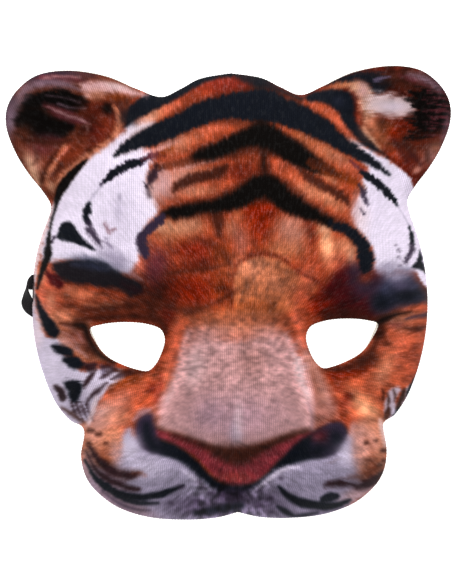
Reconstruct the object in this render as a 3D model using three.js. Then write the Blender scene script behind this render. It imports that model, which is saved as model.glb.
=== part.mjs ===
// A tiger half mask: one thin moulded sheet with two eye holes and two dished ears, and a flat elastic strap.
// It lies on its back rim with the face up. Millimetres, +Z out of the face, +Y towards the ears.
// The origin is on the resting surface, under the middle of the mask.
import * as THREE from 'three';
import { mergeVertices } from 'three/addons/utils/BufferGeometryUtils.js';

// Driving dimensions of the sheet
const SHEET_THICKNESS = 2.6;
const MESH_SPACING = 4.1;
const EDGE_RING_INSETS = [1.5, 4.6];

// The face without ears and muzzle: half an oval, widest at FACE_MID_Y
const FACE_MID_Y = -5;
const FACE_HALF_WIDTH = 80;
const FACE_LENGTH_DOWN = 82;
const FACE_LENGTH_UP = 94;
const HEAD_LENGTH_UP = 112;

// Heights along the middle of the face, without nose and muzzle: [y, z]
const HEAD_PROFILE = [[-90, 36], [-60, 42], [-32, 42], [-8, 47], [10, 53], [26, 57], [44, 56], [62, 51], [78, 43],
  [88, 33]];

// The nose: heights along its ridge, and its half width at NOSE_FOOT_Y, growing downwards
const NOSE_PROFILE = [[-88, 46], [-78, 57], [-70, 66], [-62, 73.5], [-54, 76.5], [-40, 72], [-20, 64], [0, 58.5],
  [20, 58], [40, 56]];
const NOSE_FOOT_Y = -10;
const NOSE_FOOT_HALF_WIDTH = 22;
const NOSE_WIDENING = 0.235;
const NOSE_NARROWING_UP = 0.3;
const NOSE_FADE = [38, 14];
const NOSE_V_BOTTOM_Y = -78;
const NOSE_V_RISE = 20;
const NOSE_V_HALF_WIDTH = 32;

// The muzzle: a wide rounded block with a pad on each side of the groove under the nose
const MUZZLE = { y: -64, halfWidth: 62, halfHeight: 30, base: 8, rise: 52, power: 2.5 };
const MUZZLE_PAD = { x: 27, y: -70, rx: 25, ry: 19, lift: 5.5 };
const LIP_GROOVE = { y: -86, rx: 7, ry: 15, lift: -4.5 };
const NOSTRIL = { x: 36, y: -56, rx: 8, ry: 7, lift: -2.5 };

// How softly the forms run into each other
const MUZZLE_BLEND = 9;
const EAR_BLEND = 6;
const LEAN_BLEND = 8;

// Swellings and hollows of the face
const BROW = { x: 34, y: 9, rx: 32, ry: 15, lift: 5 };
const TEMPLE = { x: 62, y: 34, rx: 22, ry: 24, lift: -2.5 };
const EYE_SOCKET = { x: 42, y: -20, rx: 25, ry: 19, lift: -7 };
const CHEEK = { x: 61, y: -33, rx: 18, ry: 16, lift: 3 };

// The ears: dishes that lean back, outwards and downwards, and end at a crease along the head
const EAR = { x: 66, y: 66, radius: 19, height: 23, leanIn: 0.1, leanOut: 0.3, leanUp: 0.06, leanDown: 0.3, dish: 7.5 };
const EAR_CREASE = { x: 28, y: 78.5, across: [0.695, 0.719], fall: 0.12 };

// The edges curl back a little
const EDGE_CURL = 3.2;
const EDGE_CURL_WIDTH = 6;

// The back rim: its sides rest on the surface, with a low arch for the strap
const REST_FROM_Y = -38;
const REST_TO_Y = 25;
const RIM_LIFT_BELOW = 14;
const RIM_LIFT_ABOVE = 11;
const STRAP_ARCH = { y: -1, halfLength: 16.5, height: 3 };
const SIDE_MIN_X = 60;

// Right half of the outline, from the top of the forehead round the ear and the cheek to the lip: [x, y]
const OUTLINE = [[0, 87.6], [12, 85.6], [20, 81.6], [28, 78.5], [38, 82.4], [50, 87.4], [64, 89.7], [76, 88.3],
  [84, 82.9], [88.6, 75.5], [88.9, 67], [85.2, 57], [80.2, 48.8], [74.6, 41.6], [71.5, 35.8], [73.1, 29.6],
  [75.8, 22], [78.2, 12], [79.4, -2], [79, -14], [77.2, -24.4], [74.2, -34.4], [70.2, -43.4], [65.2, -49.8],
  [60, -53.6], [61.3, -64], [59.5, -72.6], [54.6, -79.2], [46, -85.3], [34, -89], [20, -90], [9, -89.3],
  [0, -87.2]];

// Right eye hole: arched above, steep beside the nose, slanting up to the outer corner
const EYE_HOLE = [[57.4, -13.4], [53, -11.8], [44, -11], [35, -11.9], [29.7, -14.1], [28.2, -18], [29.6, -23.6],
  [32, -28], [34.8, -30.3], [38.8, -29.8], [45, -27.6], [50.6, -24.4], [54.8, -19.4]];

// The strap: flat elastic, from the left wall under the rim, folded back and on to the right wall.
// Each point is [x, y, z, turn], turn being 0 where the band lies flat and 90 where it stands on edge.
const STRAP_WIDTH = 6;
const STRAP_THICKNESS = 1;
const STRAP_LIFT = 0.1;
const STRAP_STEPS = 76;
const STRAP_ROUTE = [[-67.9, -11, 18.4, 0], [-72.3, -10.2, 11.5, 0], [-74.2, -8.8, 5, 0], [-76.4, -7, 1, 0],
  [-79.4, -4.5, 1.1, 0], [-82, -2, 3.2, 0], [-82.9, 0, 3, 0], [-82.3, 1, 1.5, 0], [-80.4, 1.8, 0.8, 0],
  [-78, 2.6, 0.7, 0], [-70, 6.2, 1, 8], [-58, 12, 2.8, 50], [-44, 13.5, 3.4, 90], [-29, 4, 3.4, 90],
  [-15, -13, 3.4, 90], [2, -22, 3.4, 90], [19, -15, 3.4, 90], [32, 1, 3.4, 90], [45, 11, 3.4, 90],
  [58, 9.5, 2.8, 50], [69, 3.4, 1, 8], [73.4, 0.6, 1.6, 0], [74.8, -0.2, 5, 0], [72.6, -1.4, 11.5, 0],
  [68.6, -2, 18.4, 0]];

const SHEET_COLOUR = 0xb4633a;
const STRAP_COLOUR = 0x151517;

const clamp01 = (t) => Math.min(1, Math.max(0, t));

function smoothstep(from, to, value) {
  const t = clamp01((value - from) / (to - from));
  return t * t * (3 - 2 * t);
}

function smoothMax(a, b, width) {
  const share = clamp01(0.5 + 0.5 * (b - a) / width);
  return a + (b - a) * share + width * share * (1 - share);
}

const signedRoot = (value) => Math.sign(value) * Math.sqrt(Math.abs(value));

const nearest = (points, p) => Math.min(...points.map((q) => q.distanceTo(p)));

// A smooth curve through [y, z] knots, read at y
function profile(knots, y) {
  const last = knots.length - 1;
  let i = 0;
  while (i < last - 1 && y > knots[i + 1][0]) i += 1;
  const slope = (k) => {
    const a = knots[Math.max(0, k - 1)];
    const b = knots[Math.min(last, k + 1)];
    return (b[1] - a[1]) / (b[0] - a[0]);
  };
  const [y0, z0] = knots[i];
  const [y1, z1] = knots[i + 1];
  const run = y1 - y0;
  const t = clamp01((y - y0) / run);
  const rest = 1 - t;
  return z0 * (1 + 2 * t) * rest * rest + z1 * t * t * (3 - 2 * t)
    + run * t * rest * (rest * slope(i) - t * slope(i + 1));
}

// An oval swelling or hollow that fades out at its edge
function swelling({ x = 0, y, rx, ry, lift }, ax, ay) {
  const reach = ((ax - x) / rx) ** 2 + ((ay - y) / ry) ** 2;
  return reach < 1 ? lift * (1 - reach) ** 2 : 0;
}

function faceHalfWidth(y) {
  const up = FACE_LENGTH_UP + (HEAD_LENGTH_UP - FACE_LENGTH_UP) * smoothstep(30, 60, y);
  const length = y < FACE_MID_Y ? FACE_LENGTH_DOWN : up;
  return FACE_HALF_WIDTH * Math.sqrt(Math.max(0.1, 1 - ((y - FACE_MID_Y) / length) ** 2));
}

function headHeight(ax, y) {
  const across = 1 - (ax / faceHalfWidth(y)) ** 2;
  return profile(HEAD_PROFILE, y) * signedRoot(across);
}

function muzzleHeight(ax, y) {
  const across = (ax / MUZZLE.halfWidth) ** MUZZLE.power;
  const along = (Math.abs(y - MUZZLE.y) / MUZZLE.halfHeight) ** MUZZLE.power;
  return MUZZLE.base + MUZZLE.rise * signedRoot(1 - across - along);
}

// The lower edge of the nose is a wide V
const noseEdgeY = (ax) => NOSE_V_BOTTOM_Y + NOSE_V_RISE * ax / NOSE_V_HALF_WIDTH;

function noseShare(ax, y) {
  const growth = y < NOSE_FOOT_Y ? NOSE_WIDENING : NOSE_NARROWING_UP;
  const halfWidth = NOSE_FOOT_HALF_WIDTH + growth * (NOSE_FOOT_Y - y);
  const across = (1 - Math.min(1, ax / halfWidth) ** 3) ** 1.5;
  const above = smoothstep(-2, 12, y - noseEdgeY(ax));
  return across * above * smoothstep(NOSE_FADE[0], NOSE_FADE[1], y);
}

// A straight slope that changes from one gradient to another around zero
function bend(value, before, after) {
  return (after + before) / 2 * value + (after - before) / 2 * Math.hypot(value, LEAN_BLEND);
}

function earHeight(ax, y) {
  const dx = ax - EAR.x;
  const dy = y - EAR.y;
  const lean = EAR.height + bend(dx, -EAR.leanIn, -EAR.leanOut) + bend(dy, EAR.leanDown, EAR.leanUp);
  const dish = EAR.dish * (1 - smoothstep(0, 1, Math.hypot(dx, dy) / EAR.radius));
  const [acrossX, acrossY] = EAR_CREASE.across;
  const inward = Math.max(0, (EAR_CREASE.x - ax) * acrossX + (EAR_CREASE.y - y) * acrossY);
  return lean - dish - EAR_CREASE.fall * inward ** 2;
}

const outlineCurve = new THREE.SplineCurve(OUTLINE.map(([x, y]) => new THREE.Vector2(x, y)));
const outlineSamples = outlineCurve.getSpacedPoints(300);

function edgeCurl(ax, y) {
  const inset = nearest(outlineSamples, new THREE.Vector2(ax, y));
  return EDGE_CURL * Math.max(0, 1 - inset / EDGE_CURL_WIDTH) ** 2;
}

// Height of the outer face of the sheet above the resting surface
function outerHeight(x, y) {
  const ax = Math.abs(x);
  let z = headHeight(ax, y);
  z += swelling(BROW, ax, y) + swelling(TEMPLE, ax, y) + swelling(EYE_SOCKET, ax, y) + swelling(CHEEK, ax, y);
  z = smoothMax(z, muzzleHeight(ax, y) + swelling(MUZZLE_PAD, ax, y), MUZZLE_BLEND);
  z += (profile(NOSE_PROFILE, y) - z) * noseShare(ax, y);
  z += swelling(LIP_GROOVE, ax, y) + swelling(NOSTRIL, ax, y);
  return smoothMax(z, earHeight(ax, y), EAR_BLEND) - edgeCurl(ax, y);
}

function outwardNormal(x, y) {
  const step = 0.4;
  const slopeX = (outerHeight(x + step, y) - outerHeight(x - step, y)) / (2 * step);
  const slopeY = (outerHeight(x, y + step) - outerHeight(x, y - step)) / (2 * step);
  return new THREE.Vector3(-slopeX, -slopeY, 1).normalize();
}

// How far the rim is drawn down to the resting surface: 1 along the resting sides, 0 elsewhere
function restShare(x, y) {
  if (Math.abs(x) < SIDE_MIN_X) return 0;
  return smoothstep(REST_FROM_Y - RIM_LIFT_BELOW, REST_FROM_Y, y)
    * (1 - smoothstep(REST_TO_Y, REST_TO_Y + RIM_LIFT_ABOVE, y));
}

function strapArch(y) {
  const reach = (y - STRAP_ARCH.y) / STRAP_ARCH.halfLength;
  return Math.abs(reach) < 1 ? STRAP_ARCH.height * (1 - reach * reach) ** 2 : 0;
}

// Points along a curve at an even spacing, the last one left out
function evenPoints(curve, spacing) {
  const count = Math.round(curve.getLength() / spacing);
  return curve.getSpacedPoints(count).slice(0, -1).map((p) => new THREE.Vector2(p.x, p.y));
}

// The rim points moved inwards, without those that crowd a notch or the middle
function insetPoints(rim, inset) {
  const ring = [];
  rim.slice(1).forEach((p, i) => {
    const before = rim[i];
    const after = rim[Math.min(rim.length - 1, i + 2)];
    const along = after.clone().sub(before).normalize();
    const moved = new THREE.Vector2(p.x + along.y * inset, p.y - along.x * inset);
    const crowded = nearest(rim, moved) < 0.95 * inset || moved.x < 0.4 * MESH_SPACING;
    if (!crowded && nearest(ring, moved) > 0.5 * MESH_SPACING) ring.push(moved);
  });
  return ring;
}

function contains(loop, p) {
  let inside = false;
  for (let i = 0, j = loop.length - 1; i < loop.length; j = i, i += 1) {
    const a = loop[i];
    const b = loop[j];
    const crosses = (a.y > p.y) !== (b.y > p.y);
    if (crosses && p.x < (b.x - a.x) * (p.y - a.y) / (b.y - a.y) + a.x) inside = !inside;
  }
  return inside;
}

// Circle through three points: centre and squared radius
function circumcircle(a, b, c) {
  const abx = b.x - a.x;
  const aby = b.y - a.y;
  const acx = c.x - a.x;
  const acy = c.y - a.y;
  const twiceArea = 2 * (abx * acy - aby * acx);
  const ab = abx * abx + aby * aby;
  const ac = acx * acx + acy * acy;
  const x = (acy * ab - aby * ac) / twiceArea;
  const y = (abx * ac - acx * ab) / twiceArea;
  return { x: a.x + x, y: a.y + y, r2: x * x + y * y };
}

// Delaunay triangles of a point set: each point in turn replaces the triangles whose circle holds it
function delaunay(points) {
  const far = 1000;
  const all = [...points, new THREE.Vector2(-far, -far), new THREE.Vector2(far, -far), new THREE.Vector2(0, far)];
  const triangle = (i, j, k) => ({ corners: [i, j, k], circle: circumcircle(all[i], all[j], all[k]) });
  const count = points.length;
  let triangles = [triangle(count, count + 1, count + 2)];
  for (let n = 0; n < count; n += 1) {
    const { x, y } = all[n];
    const edges = new Map();
    triangles = triangles.filter(({ corners, circle }) => {
      if ((x - circle.x) ** 2 + (y - circle.y) ** 2 > circle.r2) return true;
      corners.forEach((from, side) => {
        const to = corners[(side + 1) % 3];
        if (!edges.delete(`${to},${from}`)) edges.set(`${from},${to}`, [from, to]);
      });
      return false;
    });
    edges.forEach(([from, to]) => triangles.push(triangle(from, to, n)));
  }
  return triangles.map(({ corners }) => corners).filter((corners) => corners.every((i) => i < count));
}

// The right half of the sheet seen from the front, as points and anticlockwise triangles
function halfSheet() {
  const rim = evenPoints(outlineCurve, MESH_SPACING);
  const top = OUTLINE[0][1];
  const bottom = OUTLINE[OUTLINE.length - 1][1];
  const middle = evenPoints(new THREE.LineCurve(new THREE.Vector2(0, bottom), new THREE.Vector2(0, top)),
    MESH_SPACING);
  const hole = new THREE.CatmullRomCurve3(EYE_HOLE.map(([x, y]) => new THREE.Vector3(x, y, 0)), true);
  const eye = evenPoints(hole, MESH_SPACING * 0.75);
  const loop = [...rim, ...middle];
  const rings = EDGE_RING_INSETS.flatMap((inset) => insetPoints(rim, inset));
  const fixed = [...loop, ...eye, ...rings];
  const points = [...fixed];
  const rowStep = MESH_SPACING * Math.sqrt(3) / 2;
  for (let row = 0; row * rowStep < 2 * top + MESH_SPACING; row += 1) {
    const y = top - row * rowStep;
    for (let x = (row % 2 ? 0.5 : 1) * MESH_SPACING; x < FACE_HALF_WIDTH + 10; x += MESH_SPACING) {
      const p = new THREE.Vector2(x, y);
      const room = nearest(fixed, p) > 0.62 * MESH_SPACING;
      if (room && contains(loop, p) && !contains(eye, p)) points.push(p);
    }
  }
  const kept = delaunay(points).filter((corners) => {
    const centre = corners.reduce((sum, i) => sum.add(points[i]), new THREE.Vector2()).divideScalar(3);
    return contains(loop, centre) && !contains(eye, centre);
  });
  const triangles = kept.map(([i, j, k]) => {
    const turn = points[j].clone().sub(points[i]).cross(points[k].clone().sub(points[i]));
    return turn > 0 ? [i, j, k] : [i, k, j];
  });
  return { points, triangles, rimCount: rim.length };
}

function solidGeometry(vertices, triangles) {
  const geometry = new THREE.BufferGeometry();
  const flat = vertices.flatMap((v) => [v.x, v.y, v.z]);
  geometry.setAttribute('position', new THREE.Float32BufferAttribute(flat, 3));
  geometry.setIndex(triangles.flat());
  return mergeVertices(geometry, 1e-4);
}

// The moulded sheet: outer face, inner face and the cut edges between them
function maskShellGeometry() {
  const { points, triangles, rimCount } = halfSheet();
  const outer = [];
  const inner = [];
  points.forEach((p, i) => {
    const face = new THREE.Vector3(p.x, p.y, outerHeight(p.x, p.y));
    const normal = outwardNormal(p.x, p.y);
    if (p.x === 0) normal.setX(0).normalize();
    const back = face.clone().addScaledVector(normal, -SHEET_THICKNESS);
    if (i < rimCount) {
      const rest = restShare(p.x, p.y);
      const restZ = strapArch(p.y);
      face.z += (restZ - face.z) * rest;
      back.z += (restZ - back.z) * rest;
    }
    outer.push(face);
    inner.push(back);
  });
  const count = points.length;
  const openEdges = new Map();
  triangles.forEach((corners) => corners.forEach((from, side) => {
    const to = corners[(side + 1) % 3];
    if (!openEdges.delete(`${to},${from}`)) openEdges.set(`${from},${to}`, [from, to]);
  }));
  const half = triangles.flatMap(([i, j, k]) => [[i, j, k], [i + count, k + count, j + count]]);
  openEdges.forEach(([from, to]) => {
    if (points[from].x === 0 && points[to].x === 0) return;
    half.push([from, from + count, to + count], [from, to + count, to]);
  });
  const right = [...outer, ...inner];
  const left = right.map((v) => new THREE.Vector3(-v.x, v.y, v.z));
  const offset = right.length;
  const mirrored = half.map(([i, j, k]) => [i + offset, k + offset, j + offset]);
  return solidGeometry([...right, ...left], [...half, ...mirrored]);
}

// A flat band swept along the strap's route, with bevelled edges
function strapGeometry() {
  const route = new THREE.CatmullRomCurve3(STRAP_ROUTE.map(([x, y, z]) => new THREE.Vector3(x, y, z)));
  const bevel = STRAP_THICKNESS * 0.3;
  const w = STRAP_WIDTH / 2;
  const t = STRAP_THICKNESS / 2;
  const section = [[w, -t + bevel], [w, t - bevel], [w - bevel, t], [-w + bevel, t], [-w, t - bevel],
    [-w, -t + bevel], [-w + bevel, -t], [w - bevel, -t]];
  const sides = section.length;
  const vertices = [];
  const triangles = [];
  for (let step = 0; step <= STRAP_STEPS; step += 1) {
    const share = step / STRAP_STEPS;
    const at = route.getPointAt(share);
    const along = route.getTangentAt(share);
    const knot = route.getUtoTmapping(share) * (STRAP_ROUTE.length - 1);
    const before = Math.min(Math.floor(knot), STRAP_ROUTE.length - 2);
    const turn = THREE.MathUtils.degToRad(THREE.MathUtils.lerp(STRAP_ROUTE[before][3], STRAP_ROUTE[before + 1][3],
      knot - before));
    const across = new THREE.Vector3(0, Math.cos(turn), Math.sin(turn));
    across.addScaledVector(along, -across.dot(along)).normalize();
    at.z = Math.max(at.z, w * Math.abs(across.z) + t * Math.cos(turn) + STRAP_LIFT);
    const up = new THREE.Vector3().crossVectors(along, across);
    section.forEach(([a, b]) => {
      vertices.push(at.clone().addScaledVector(across, a).addScaledVector(up, b));
    });
  }
  for (let step = 0; step < STRAP_STEPS; step += 1) {
    for (let side = 0; side < sides; side += 1) {
      const a = step * sides + side;
      const b = step * sides + (side + 1) % sides;
      triangles.push([a, b, b + sides], [a, b + sides, a + sides]);
    }
  }
  const end = STRAP_STEPS * sides;
  for (let side = 1; side < sides - 1; side += 1) {
    triangles.push([0, side + 1, side], [end, end + side, end + side + 1]);
  }
  return solidGeometry(vertices, triangles);
}

function namedMesh(name, geometry, colour, roughness) {
  const material = new THREE.MeshStandardMaterial({ color: colour, roughness, metalness: 0 });
  const mesh = new THREE.Mesh(geometry, material);
  mesh.name = name;
  return mesh;
}

const mask = new THREE.Group();
mask.add(namedMesh('mask_shell', maskShellGeometry(), SHEET_COLOUR, 0.9));
mask.add(namedMesh('elastic_strap', strapGeometry(), STRAP_COLOUR, 0.85));

export default mask;
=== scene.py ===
"""The looks of the tiger mask: a printed knit bonded to a moulded foam sheet, and its flat elastic.

Shapes are worked out in millimetres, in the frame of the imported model, and become metres when a mesh is made.
"""

import bpy
import numpy as np
from mathutils import Matrix, Vector, geometry, kdtree


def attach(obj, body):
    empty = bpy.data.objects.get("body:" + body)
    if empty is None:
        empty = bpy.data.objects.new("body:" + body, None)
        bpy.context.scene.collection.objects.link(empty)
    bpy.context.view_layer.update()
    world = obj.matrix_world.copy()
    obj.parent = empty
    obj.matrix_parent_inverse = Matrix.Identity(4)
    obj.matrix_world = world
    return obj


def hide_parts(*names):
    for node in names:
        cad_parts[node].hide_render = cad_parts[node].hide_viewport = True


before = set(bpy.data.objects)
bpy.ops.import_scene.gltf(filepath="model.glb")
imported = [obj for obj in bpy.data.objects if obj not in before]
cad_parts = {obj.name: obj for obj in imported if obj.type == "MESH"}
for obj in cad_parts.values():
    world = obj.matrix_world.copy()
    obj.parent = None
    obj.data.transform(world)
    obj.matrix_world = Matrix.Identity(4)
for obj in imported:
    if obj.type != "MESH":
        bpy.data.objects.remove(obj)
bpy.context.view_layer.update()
MM = 0.001

# The sheet, and its parting into knit and foam
SHEET_THICKNESS = 2.6
KNIT_THICKNESS = 0.45
GLUE_GAP = 0.05

# The moulded face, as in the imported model; x is taken from the middle, as both halves are alike
FACE_MID_Y = -5
FACE_HALF_WIDTH = 80
FACE_LENGTH_DOWN = 82
FACE_LENGTH_UP = 94
HEAD_LENGTH_UP = 112
HEAD_BLEND_Y = (30, 60)
NARROWEST = 0.1
HEAD_PROFILE = [(-90, 36), (-60, 42), (-32, 42), (-8, 47), (10, 53), (26, 57), (44, 56), (62, 51), (78, 43),
                (88, 33)]

NOSE_PROFILE = [(-88, 46), (-78, 57), (-70, 66), (-62, 73.5), (-54, 76.5), (-40, 72), (-20, 64), (0, 58.5),
                (20, 58), (40, 56)]
NOSE_FOOT_Y = -10
NOSE_FOOT_HALF_WIDTH = 22
NOSE_WIDENING = 0.235
NOSE_NARROWING_UP = 0.3
NOSE_FADE_Y = (14, 38)
NOSE_ROUNDNESS = (3, 1.5)
NOSE_V_BOTTOM_Y = -78
NOSE_V_RISE = 20
NOSE_V_HALF_WIDTH = 32
NOSE_V_FADE = (-2, 12)

MUZZLE = {"y": -64, "half_width": 62, "half_height": 30, "base": 8, "rise": 52, "power": 2.5}
MUZZLE_PAD = {"x": 27, "y": -70, "rx": 25, "ry": 19, "lift": 5.5}
LIP_GROOVE = {"x": 0, "y": -86, "rx": 7, "ry": 15, "lift": -4.5}
NOSTRIL = {"x": 36, "y": -56, "rx": 8, "ry": 7, "lift": -2.5}
MUZZLE_BLEND = 9
EAR_BLEND = 6
LEAN_BLEND = 8
SWELLINGS = [{"x": 34, "y": 9, "rx": 32, "ry": 15, "lift": 5},
             {"x": 62, "y": 34, "rx": 22, "ry": 24, "lift": -2.5},
             {"x": 42, "y": -20, "rx": 25, "ry": 19, "lift": -7},
             {"x": 61, "y": -33, "rx": 18, "ry": 16, "lift": 3}]

EAR = {"x": 66, "y": 66, "radius": 19, "height": 23, "lean_in": 0.1, "lean_out": 0.3, "lean_up": 0.06,
       "lean_down": 0.3, "dish": 7.5}
EAR_CREASE = {"x": 28, "y": 78.5, "across": (0.695, 0.719), "fall": 0.12}
EDGE_CURL = 3.2
EDGE_CURL_WIDTH = 6

REST_FROM_Y = -38
REST_TO_Y = 25
RIM_LIFT_BELOW = 14
RIM_LIFT_ABOVE = 11
STRAP_ARCH = {"y": -1, "half_length": 16.5, "height": 3}
SIDE_MIN_X = 60

# Right half of the outline from the crown to the lip, and the right eye hole
OUTLINE = [(0, 87.6), (12, 85.6), (20, 81.6), (28, 78.5), (38, 82.4), (50, 87.4), (64, 89.7), (76, 88.3),
           (84, 82.9), (88.6, 75.5), (88.9, 67), (85.2, 57), (80.2, 48.8), (74.6, 41.6), (71.5, 35.8),
           (73.1, 29.6), (75.8, 22), (78.2, 12), (79.4, -2), (79, -14), (77.2, -24.4), (74.2, -34.4),
           (70.2, -43.4), (65.2, -49.8), (60, -53.6), (61.3, -64), (59.5, -72.6), (54.6, -79.2), (46, -85.3),
           (34, -89), (20, -90), (9, -89.3), (0, -87.2)]
EYE_HOLE = [(57.4, -13.4), (53, -11.8), (44, -11), (35, -11.9), (29.7, -14.1), (28.2, -18), (29.6, -23.6),
            (32, -28), (34.8, -30.3), (38.8, -29.8), (45, -27.6), (50.6, -24.4), (54.8, -19.4)]

# The strap, and its route: x, y, z and the band's turn, which is 0 where it lies flat and 90 where it stands
# on edge. A lean is a point's number and how far the band's upper edge leans towards the rim there.
STRAP_WIDTH = 6
STRAP_THICKNESS = 1
STRAP_LIFT = 0.1
STRAP_PARTS = 24
STRAP_STEP = 0.5
STRAP_SIDES = 48
STRAP_CORD = 0.85
STRAP_CORD_DEPTH = 0.14
STRAP_ROUNDNESS = (0.5, 0.35)
STRAP_ROUTE = [(-67.9, -11, 18.4, 0), (-72.3, -10.2, 11.5, 0), (-74.2, -8.8, 5, 0), (-76.4, -6.6, 1, 0),
               (-78.8, -5.2, 1.1, 0), (-80.5, -3.5, 2, 30), (-81.3, -0.9, 3.2, 60), (-81.6, 2.2, 3.2, 76),
               (-80.7, 4.7, 2.3, 50), (-78.9, 5.6, 1, 8), (-77, 5.7, 0.8, 0), (-70, 6.2, 1, 8),
               (-58, 12, 2.8, 50), (-44, 13.5, 3.4, 90), (-29, 4, 3.4, 90), (-15, -13, 3.4, 90),
               (2, -22, 3.4, 90), (19, -15, 3.4, 90), (32, 1, 3.4, 90), (45, 11, 3.4, 90), (58, 9.5, 2.8, 50),
               (69, 3.4, 1, 8), (73.4, 0.6, 1.6, 0), (74.8, -0.2, 5, 0), (72.6, -1.4, 11.5, 0),
               (68.6, -2, 18.4, 0)]
STRAP_LEANS = [(4, 0), (5, 0.35), (6, 0.5), (7, 0.15), (8, 0)]

# Detail that only the looks have
OUTER_SPACING = 0.6
INNER_SPACING = 1.7
SPLINE_PARTS = 12
OUTLINE_SPACING = 0.2
EDGE_CLEARANCE = (0.62, 0.5)
SLOPE_STEP = 0.4
MERGE_DISTANCE = 1e-6
EDGE_TOOTH = 0.16
KNIT_WALE = 0.85
KNIT_COURSE = 0.7
STRETCH_STEP = 0.5
STEEPEST_STRETCH = 6
NOSE_GROOVE = {"line": [(35, -61), (30, -64), (22, -66.5), (14, -70.8), (7, -75.6), (0, -78.2)], "width": 2.4,
               "depth": 1.5}
LIP_CLEFT = {"line": [(0, -78), (0, -83), (0, -92)], "width": 1.8, "depth": 1.1}
GROOVES_WITHIN = {"x": 45, "y": -50, "parts": 8, "spacing": 0.25}

# The photograph's view: the camera's turn to the viewer's left, the lean of the mask, and its distance
VIEW_TURN = 3.0
VIEW_LEAN = 0.9
VIEW_DISTANCE = 4000
VIEW_TARGET_Z = 10
VIEW_OFFSET = (-2.0, 0.4)
PICTURE_HEIGHT = 584
MM_PER_PIXEL = 0.4
SENSOR_WIDTH = 36

# The floor and the lights
FLOOR_HALF_WIDTH = 1500
SKY_COLOUR = (0.96, 0.98, 1.0, 1)
SKY_STRENGTH = 0.36

# The materials: noise and cells in waves to the metre, threads in millimetres, bumps in metres
SPECULAR_LEVEL = 0.03
SHEEN_ROUGHNESS = 0.5
NOISE_ROUGHNESS = 0.55
KNIT_LOOK = {"roughness": (0.80, 0.92), "row": (0.4, 1.0), "slant": 2.6, "fuzz": 1300, "cloud": 70,
             "fleck_hair": 1.5, "fleck_fuzz": (-1.2, -0.3), "pale": 0.1, "stitch_shade": (0.735, 1.135),
             "cloud_shade": (0.95, 1.05), "fuzz_height": 0.3, "bump": 0.00013, "bump_strength": 0.8}
FOAM_LOOK = {"roughness": 0.9, "sheen": 0.02, "cells": 2200.0, "cell_radius": 0.7, "grain": 320, "cloud": 45,
             "cell_shade": (0.80, 1.02), "grain_shade": (0.94, 1.06), "grain_height": 0.5, "bump": 0.00022,
             "pale": (0.84, 0.80, 0.73, 1), "warm": (0.78, 0.72, 0.63, 1)}
ELASTIC_LOOK = {"roughness": 0.72, "sheen": 0.03, "thread_along": 1.1, "thread_across": 1.5, "fuzz": 3000,
                "braid_shade": (0.8, 1.3), "fuzz_shade": (0.55, 1.45), "fuzz_height": 0.4, "bump": 0.00012,
                "colour": (0.021, 0.019, 0.021, 1)}
FLOOR_LOOK = {"roughness": 0.9, "glow": 0.7, "colour": (0.93, 0.93, 0.935, 1), "cloud": 14, "grain": 900,
              "cloud_shade": (0.994, 1.006), "bump": 0.00004}


def smoothstep(low, high, value):
    t = np.clip((value - low) / (high - low), 0, 1)
    return t * t * (3 - 2 * t)


def spline(points, parts, closed=False, centripetal=False):
    """Points along a smooth curve through the given ones, with so many parts to a span"""
    p = np.array(points, float)
    if closed:
        p = np.vstack([p[-1:], p, p[:2]])
    elif centripetal:
        p = np.vstack([2 * p[0] - p[1], p, 2 * p[-1] - p[-2]])
    else:
        p = np.vstack([p[:1], p, p[-1:]])
    a, b, c, d = p[:-3], p[1:-2], p[2:-1], p[3:]
    slope_b, slope_c = (c - a) / 2, (d - b) / 2
    if centripetal:
        before, here, after = (np.linalg.norm(q, axis=1)[:, None] ** 0.5 for q in (b - a, c - b, d - c))
        slope_b = ((b - a) / before - (c - a) / (before + here)) * here + c - b
        slope_c = ((d - c) / after - (d - b) / (here + after)) * here + c - b
    t = (np.arange(parts) / parts)[None, :, None]
    b, c, slope_b, slope_c = (q[:, None, :] for q in (b, c, slope_b, slope_c))
    line = b + slope_b * t + (3 * (c - b) - 2 * slope_b - slope_c) * t ** 2
    line = (line + (2 * (b - c) + slope_b + slope_c) * t ** 3).reshape(-1, p.shape[1])
    return line if closed else np.vstack([line, p[-2:-1]])


def evenly(line, spacing, closed=False):
    """The same line with its points at an even spacing"""
    p = np.vstack([line, line[:1]]) if closed else line
    reach = np.concatenate([[0], np.cumsum(np.linalg.norm(np.diff(p[:, :3], axis=0), axis=1))])
    at = np.linspace(0, reach[-1], round(reach[-1] / spacing) + 1)
    even = np.stack([np.interp(at, reach, p[:, k]) for k in range(p.shape[1])], 1)
    return even[:-1] if closed else even


def distances(points, line):
    """How far each point is from the nearest point of a line"""
    tree = kdtree.KDTree(len(line))
    for i, (x, y) in enumerate(line):
        tree.insert((x, y, 0), i)
    tree.balance()
    return np.array([tree.find((x, y, 0))[2] for x, y in points])


def profile(knots, y):
    """A smooth curve through (y, z) knots, read at y"""
    ys, zs = np.array(knots, float).T
    slopes = np.concatenate([[(zs[1] - zs[0]) / (ys[1] - ys[0])], (zs[2:] - zs[:-2]) / (ys[2:] - ys[:-2]),
                             [(zs[-1] - zs[-2]) / (ys[-1] - ys[-2])]])
    i = np.clip(np.searchsorted(ys, y) - 1, 0, len(ys) - 2)
    run = ys[i + 1] - ys[i]
    t = np.clip((y - ys[i]) / run, 0, 1)
    rest = 1 - t
    return (zs[i] * (1 + 2 * t) * rest ** 2 + zs[i + 1] * t ** 2 * (3 - 2 * t)
            + run * t * rest * (rest * slopes[i] - t * slopes[i + 1]))


def smooth_max(a, b, width):
    share = np.clip(0.5 + 0.5 * (b - a) / width, 0, 1)
    return a + (b - a) * share + width * share * (1 - share)


def signed_power(value, power=0.5):
    """A power of the value's size, with the value's sign"""
    return np.sign(value) * np.abs(value) ** power


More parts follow.
